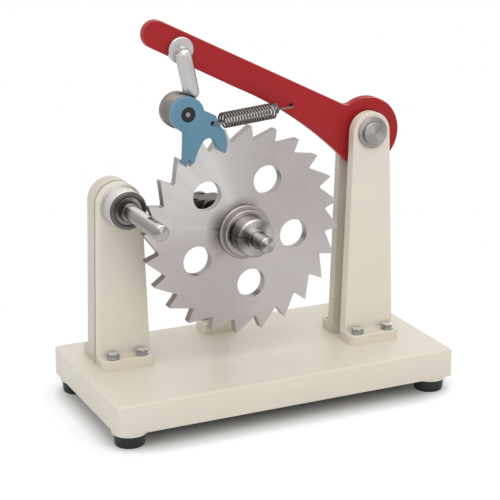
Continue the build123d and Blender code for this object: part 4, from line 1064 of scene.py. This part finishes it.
@dataclass
class ReturnSpring:
    """Extension spring: loop, coil and hook, drawn as one wire.

    setback and sag seat the loop in the pawl's hole, so that it keeps clear as the pawl swings.
    """

    start: Point = (-55.2, -30.0, 280.6)
    bend: Point = (35.9, -17.5, 284.6)
    tail_end: float = 1.0
    wire: float = 0.92
    coil_wire: float = 1.05
    coil: float = 6.6
    turns: int = 18
    coil_start: float = 13.0
    coil_lead: float = 2.2
    coil_length: float = 56.0
    loop: float = 6.0
    setback: float = 0.6
    sag: float = 0.8
    hook: float = 3.2

    def frame_axes(self) -> Tuple[np.ndarray, np.ndarray, np.ndarray]:
        """The coil's own directions.

        Returns:
            Its axis and the two directions across it.
        """
        axis = np.subtract(self.bend, self.start)
        axis /= np.linalg.norm(axis)
        up = UP - axis[2] * axis
        up /= np.linalg.norm(up)
        return axis, up, np.cross(axis, up)

    def coil_path(self) -> np.ndarray:
        """start + s axis + R (cos t up + sin t side), with R drawn in to the axis at both ends.

        Returns:
            The centre line.
        """
        axis, up, side = self.frame_axes()
        t = np.linspace(-0.5, self.turns + 0.5, 48 * (self.turns + 1))
        share = np.clip(t / self.turns, 0.0, 1.0)
        out = np.clip(np.maximum(-t, t - self.turns) / 0.5, 0.0, 1.0)
        radius = self.coil * np.cos(out * QUARTER)
        lead = np.where(t < 0, -1.0, 1.0) * np.sin(out * QUARTER) * self.coil_lead
        along = self.coil_start + share * self.coil_length + lead
        turn = TAU * t
        return (
            np.asarray(self.start)
            + along[:, None] * axis
            + (radius * np.cos(turn))[:, None] * up
            + (radius * np.sin(turn))[:, None] * side
        )

    def loop_path(self) -> np.ndarray:
        """A near-full circle, centre + R (cos t along + sin t rearward), that sags in the pawl's hole.

        Returns:
            The centre line.
        """
        axis, _, _ = self.frame_axes()
        along = np.array([axis[0], 0.0, axis[2]])
        along /= np.linalg.norm(along)
        centre = np.asarray(self.start) + along * (self.loop - self.setback)
        t = np.linspace(0.12, TAU - 0.02, 72)[:, None]
        circle = self.loop * (np.cos(t) * along + np.sin(t) * REARWARD)
        return centre + circle - self.sag * (1.0 - np.cos(t)) / 2.0 * UP

    def hook_path(self) -> np.ndarray:
        """Straight from the coil, then a quarter circle back into the lever's hole.

        Returns:
            The centre line.
        """
        axis, _, _ = self.frame_axes()
        bend = np.asarray(self.bend)
        first = np.asarray(self.start) + axis * (self.coil_start + self.coil_length + 1.2)
        straight = first + np.linspace(0.0, 1.0, 16)[:, None] * (bend - axis * self.hook - first)
        t = np.linspace(0.0, QUARTER, 14)[1:, None]
        corner = bend - axis * self.hook + REARWARD * self.hook
        turn = corner + self.hook * (np.sin(t) * axis - np.cos(t) * REARWARD)
        tail = turn[-1] + np.linspace(0.0, 1.0, 8)[1:, None] * (REARWARD * (self.tail_end - turn[-1][1]))
        return np.concatenate([straight, turn, tail])

    def build(self) -> None:
        """Make the spring."""
        axis, up, _ = self.frame_axes()
        skin = Skin("return_spring_wire")
        skin.tube(self.coil_path(), axis + 0.001 * up, self.coil_wire)
        skin.tube(self.loop_path(), UP, self.wire)
        skin.tube(self.hook_path(), UP, self.wire)
        skin.stand_in("return_spring", Finish.WIRE, 60.0)


@dataclass
class Pawl(Dressed):
    """Blue pawl with its black bush, spacer and hardened tooth."""

    dress: Tuple[Dress, ...] = (
        Dress("pawl_plate", Finish.BLUE, Edge.THIN), Dress("pawl_bush", Finish.BLACK, Edge.BROAD),
        Dress("pawl_spacer", Finish.BLACK, Edge.THIN), Dress("pawl_tooth", Finish.BLACK, Edge.THIN),
    )


@dataclass
class Wheel(Dressed):
    """Toothed wheel with its turned hub and shaft."""

    dress: Tuple[Dress, ...] = (
        Dress("ratchet_wheel", Finish.WHEEL, Edge.THIN, 20.0), Dress("wheel_hub", Finish.HUB, Edge.THIN),
        Dress("wheel_shaft", Finish.HUB, Edge.FINE), Dress("hub_nut", Finish.HUB, Edge.BROAD),
        Dress("hub_key", Finish.BLACK, Edge.THIN), Dress("shaft_collar_front", Finish.HUB, Edge.BROAD),
        Dress("shaft_collar_back", Finish.HUB, Edge.BROAD),
    )


@dataclass
class SpindleBearing(Dressed):
    """Spindle in its ball bearing, with the housing on the left upright."""

    dress: Tuple[Dress, ...] = (
        Dress("bearing_housing", Finish.HOUSING, Edge.BROAD),
        Dress("bearing_outer_ring", Finish.RACE, Edge.FINE),
        Dress("bearing_inner_ring", Finish.RACE, Edge.FINE), Dress("bearing_balls", Finish.ZINC),
        Dress("bearing_shields", Finish.SHIELD, Edge.FINE), Dress("bearing_clips", Finish.BLACK, Edge.FINE),
        Dress("spindle_bush", Finish.BRONZE, Edge.THIN), Dress("spindle", Finish.SPINDLE, Edge.FINE),
        Dress("spindle_collar", Finish.SPINDLE, Edge.BROAD),
    )


# --- studio ---
@dataclass(frozen=True)
class Lamp:
    """A square soft light, with its place, its side and what it looks at in metres."""

    name: str
    place: Point
    size: float
    watts: float
    colour: Colour
    aim: Point = (0.0, 0.0, 0.16)

    def build(self) -> None:
        """Hang the light, turned towards the middle of the object."""
        data = bpy.data.lights.new(self.name, "AREA")
        data.shape, data.size, data.energy, data.color = "SQUARE", self.size, self.watts, self.colour
        made = linked(self.name, data)
        aim = Vector(self.aim) - Vector(self.place)
        made.rotation_euler = aim.to_track_quat("-Z", "Y").to_euler()
        made.location = self.place


@dataclass
class Studio:
    """Pale floor with a painted shadow under the tray, soft lights and the camera."""

    camera_place: Point = (-626.4, -1340.8, 598.2)
    right: Point = (0.90613, -0.42298, -0.00415)
    up: Point = (0.12778, 0.26438, 0.95592)
    lens: float = 115.42
    sensor: float = 36.0
    lamps: Tuple[Lamp, ...] = (
        Lamp("key", (-0.35, -1.2, 1.7), 1.8, 7.6, (1.0, 0.985, 0.96)),
        Lamp("top", (0.35, 0.1, 2.0), 2.4, 10.0, WHITE),
    )
    world_strength: float = 0.73
    # The shade_ fields shape the floor's painted shadow about the tray.
    shade_half: Pair = (128.0, 48.0)
    shade_reach: float = 60.0
    shade_curve: float = 1.4
    shade_limit: float = 400.0
    white_from: float = 120.0
    white_at: float = 300.0
    floor_colour: Colour = (0.94, 0.94, 0.945)
    shade_colour: Colour = (0.16, 0.16, 0.16)
    floor_glow: float = 0.17
    floor_half: float = 4.0

    def camera(self) -> None:
        """Set the view: a long lens that looks down on the object from the front left."""
        data = bpy.data.cameras.new("view")
        data.lens, data.sensor_width = self.lens, self.sensor
        data.clip_start, data.clip_end = 0.05, 20.0
        right = Vector(self.right).normalized()
        back = right.cross(Vector(self.up)).normalized()
        up = back.cross(right)
        turn = Matrix((right, up, back)).transposed().to_4x4()
        turn.translation = Vector(self.camera_place) * MM
        made = linked("view", data)
        made.matrix_world = turn
        bpy.context.scene.camera = made

    def world(self) -> None:
        """White to the camera, in reflections and through glass, and a gentle fill on the rest."""
        world = bpy.data.worlds.new("studio")
        bpy.context.scene.world = world
        bench = Bench(world)
        fill = bench.node("ShaderNodeBackground", Color=(0.97, 0.985, 1.0), Strength=self.world_strength)
        white = bench.node("ShaderNodeBackground", Color=WHITE, Strength=1.0)
        seen = bench.rays("Is Camera Ray", "Is Glossy Ray", "Is Transmission Ray")
        bench.close(bench.blend(seen, fill, white), "ShaderNodeOutputWorld")

    def floor(self) -> None:
        """A wide pale floor with a painted shadow: the camera sees it darker close under the tray and plain
        white far off.
        """
        mesh = bpy.data.meshes.new("floor")
        count = 9
        side = np.linspace(-self.floor_half, self.floor_half, count)
        points = np.stack([*np.meshgrid(side, side, indexing="ij"), np.zeros((count, count))], -1)
        mesh.from_pydata(points.reshape(-1, 3).tolist(), [], sheet_faces(count, count, 0, False).tolist())
        made = linked("floor", mesh)
        bench = Bench(bpy.data.materials.new("pale_floor"))
        x, y, _ = bench.axes()
        past_x, past_y = (
            (axis.absolute() - half).ramp(0.0, self.shade_limit) * self.shade_limit
            for axis, half in zip((x, y), self.shade_half)
        )
        away = (past_x * past_x + past_y * past_y).root()
        plain = bench.node("ShaderNodeBsdfDiffuse", Color=self.floor_colour)
        shade = bench.node("ShaderNodeBsdfDiffuse", Color=self.shade_colour)
        glow, white = (
            bench.node("ShaderNodeEmission", Color=WHITE, Strength=level)
            for level in (self.floor_glow, 1.0)
        )
        lit = bench.node("ShaderNodeAddShader")
        for socket, shader in zip(lit.inputs, (plain, glow)):
            bench.feed(socket, shader.outputs[0])
        # Painted shadow: the shade colour close to the tray, the lit floor past the reach.
        near = bench.blend(away.ramp(0.0, self.shade_reach) ** self.shade_curve, shade, lit)
        far = bench.blend(away.ramp(self.white_from, self.white_at), near, white)
        mesh.materials.append(bench.close(bench.blend(bench.rays("Is Camera Ray"), plain, far)))

    def build(self) -> None:
        """Set the whole studio up."""
        bpy.context.scene.view_settings.view_transform = "Standard"
        self.camera()
        self.world()
        self.floor()
        for lamp in self.lamps:
            lamp.build()


def main() -> None:
    """Build every sub-assembly in order."""
    logging.basicConfig(level=logging.INFO, format="%(name)s: %(message)s")
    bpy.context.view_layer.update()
    Studio().build()
    for assembly in (
        Tray, Uprights, Fasteners, LeverPivot, Lever, ReturnSpring, Pawl, Wheel, SpindleBearing,
    ):
        LOG.info("building %s", assembly.__name__)
        assembly().build()


if __name__ == "__main__":
    main()
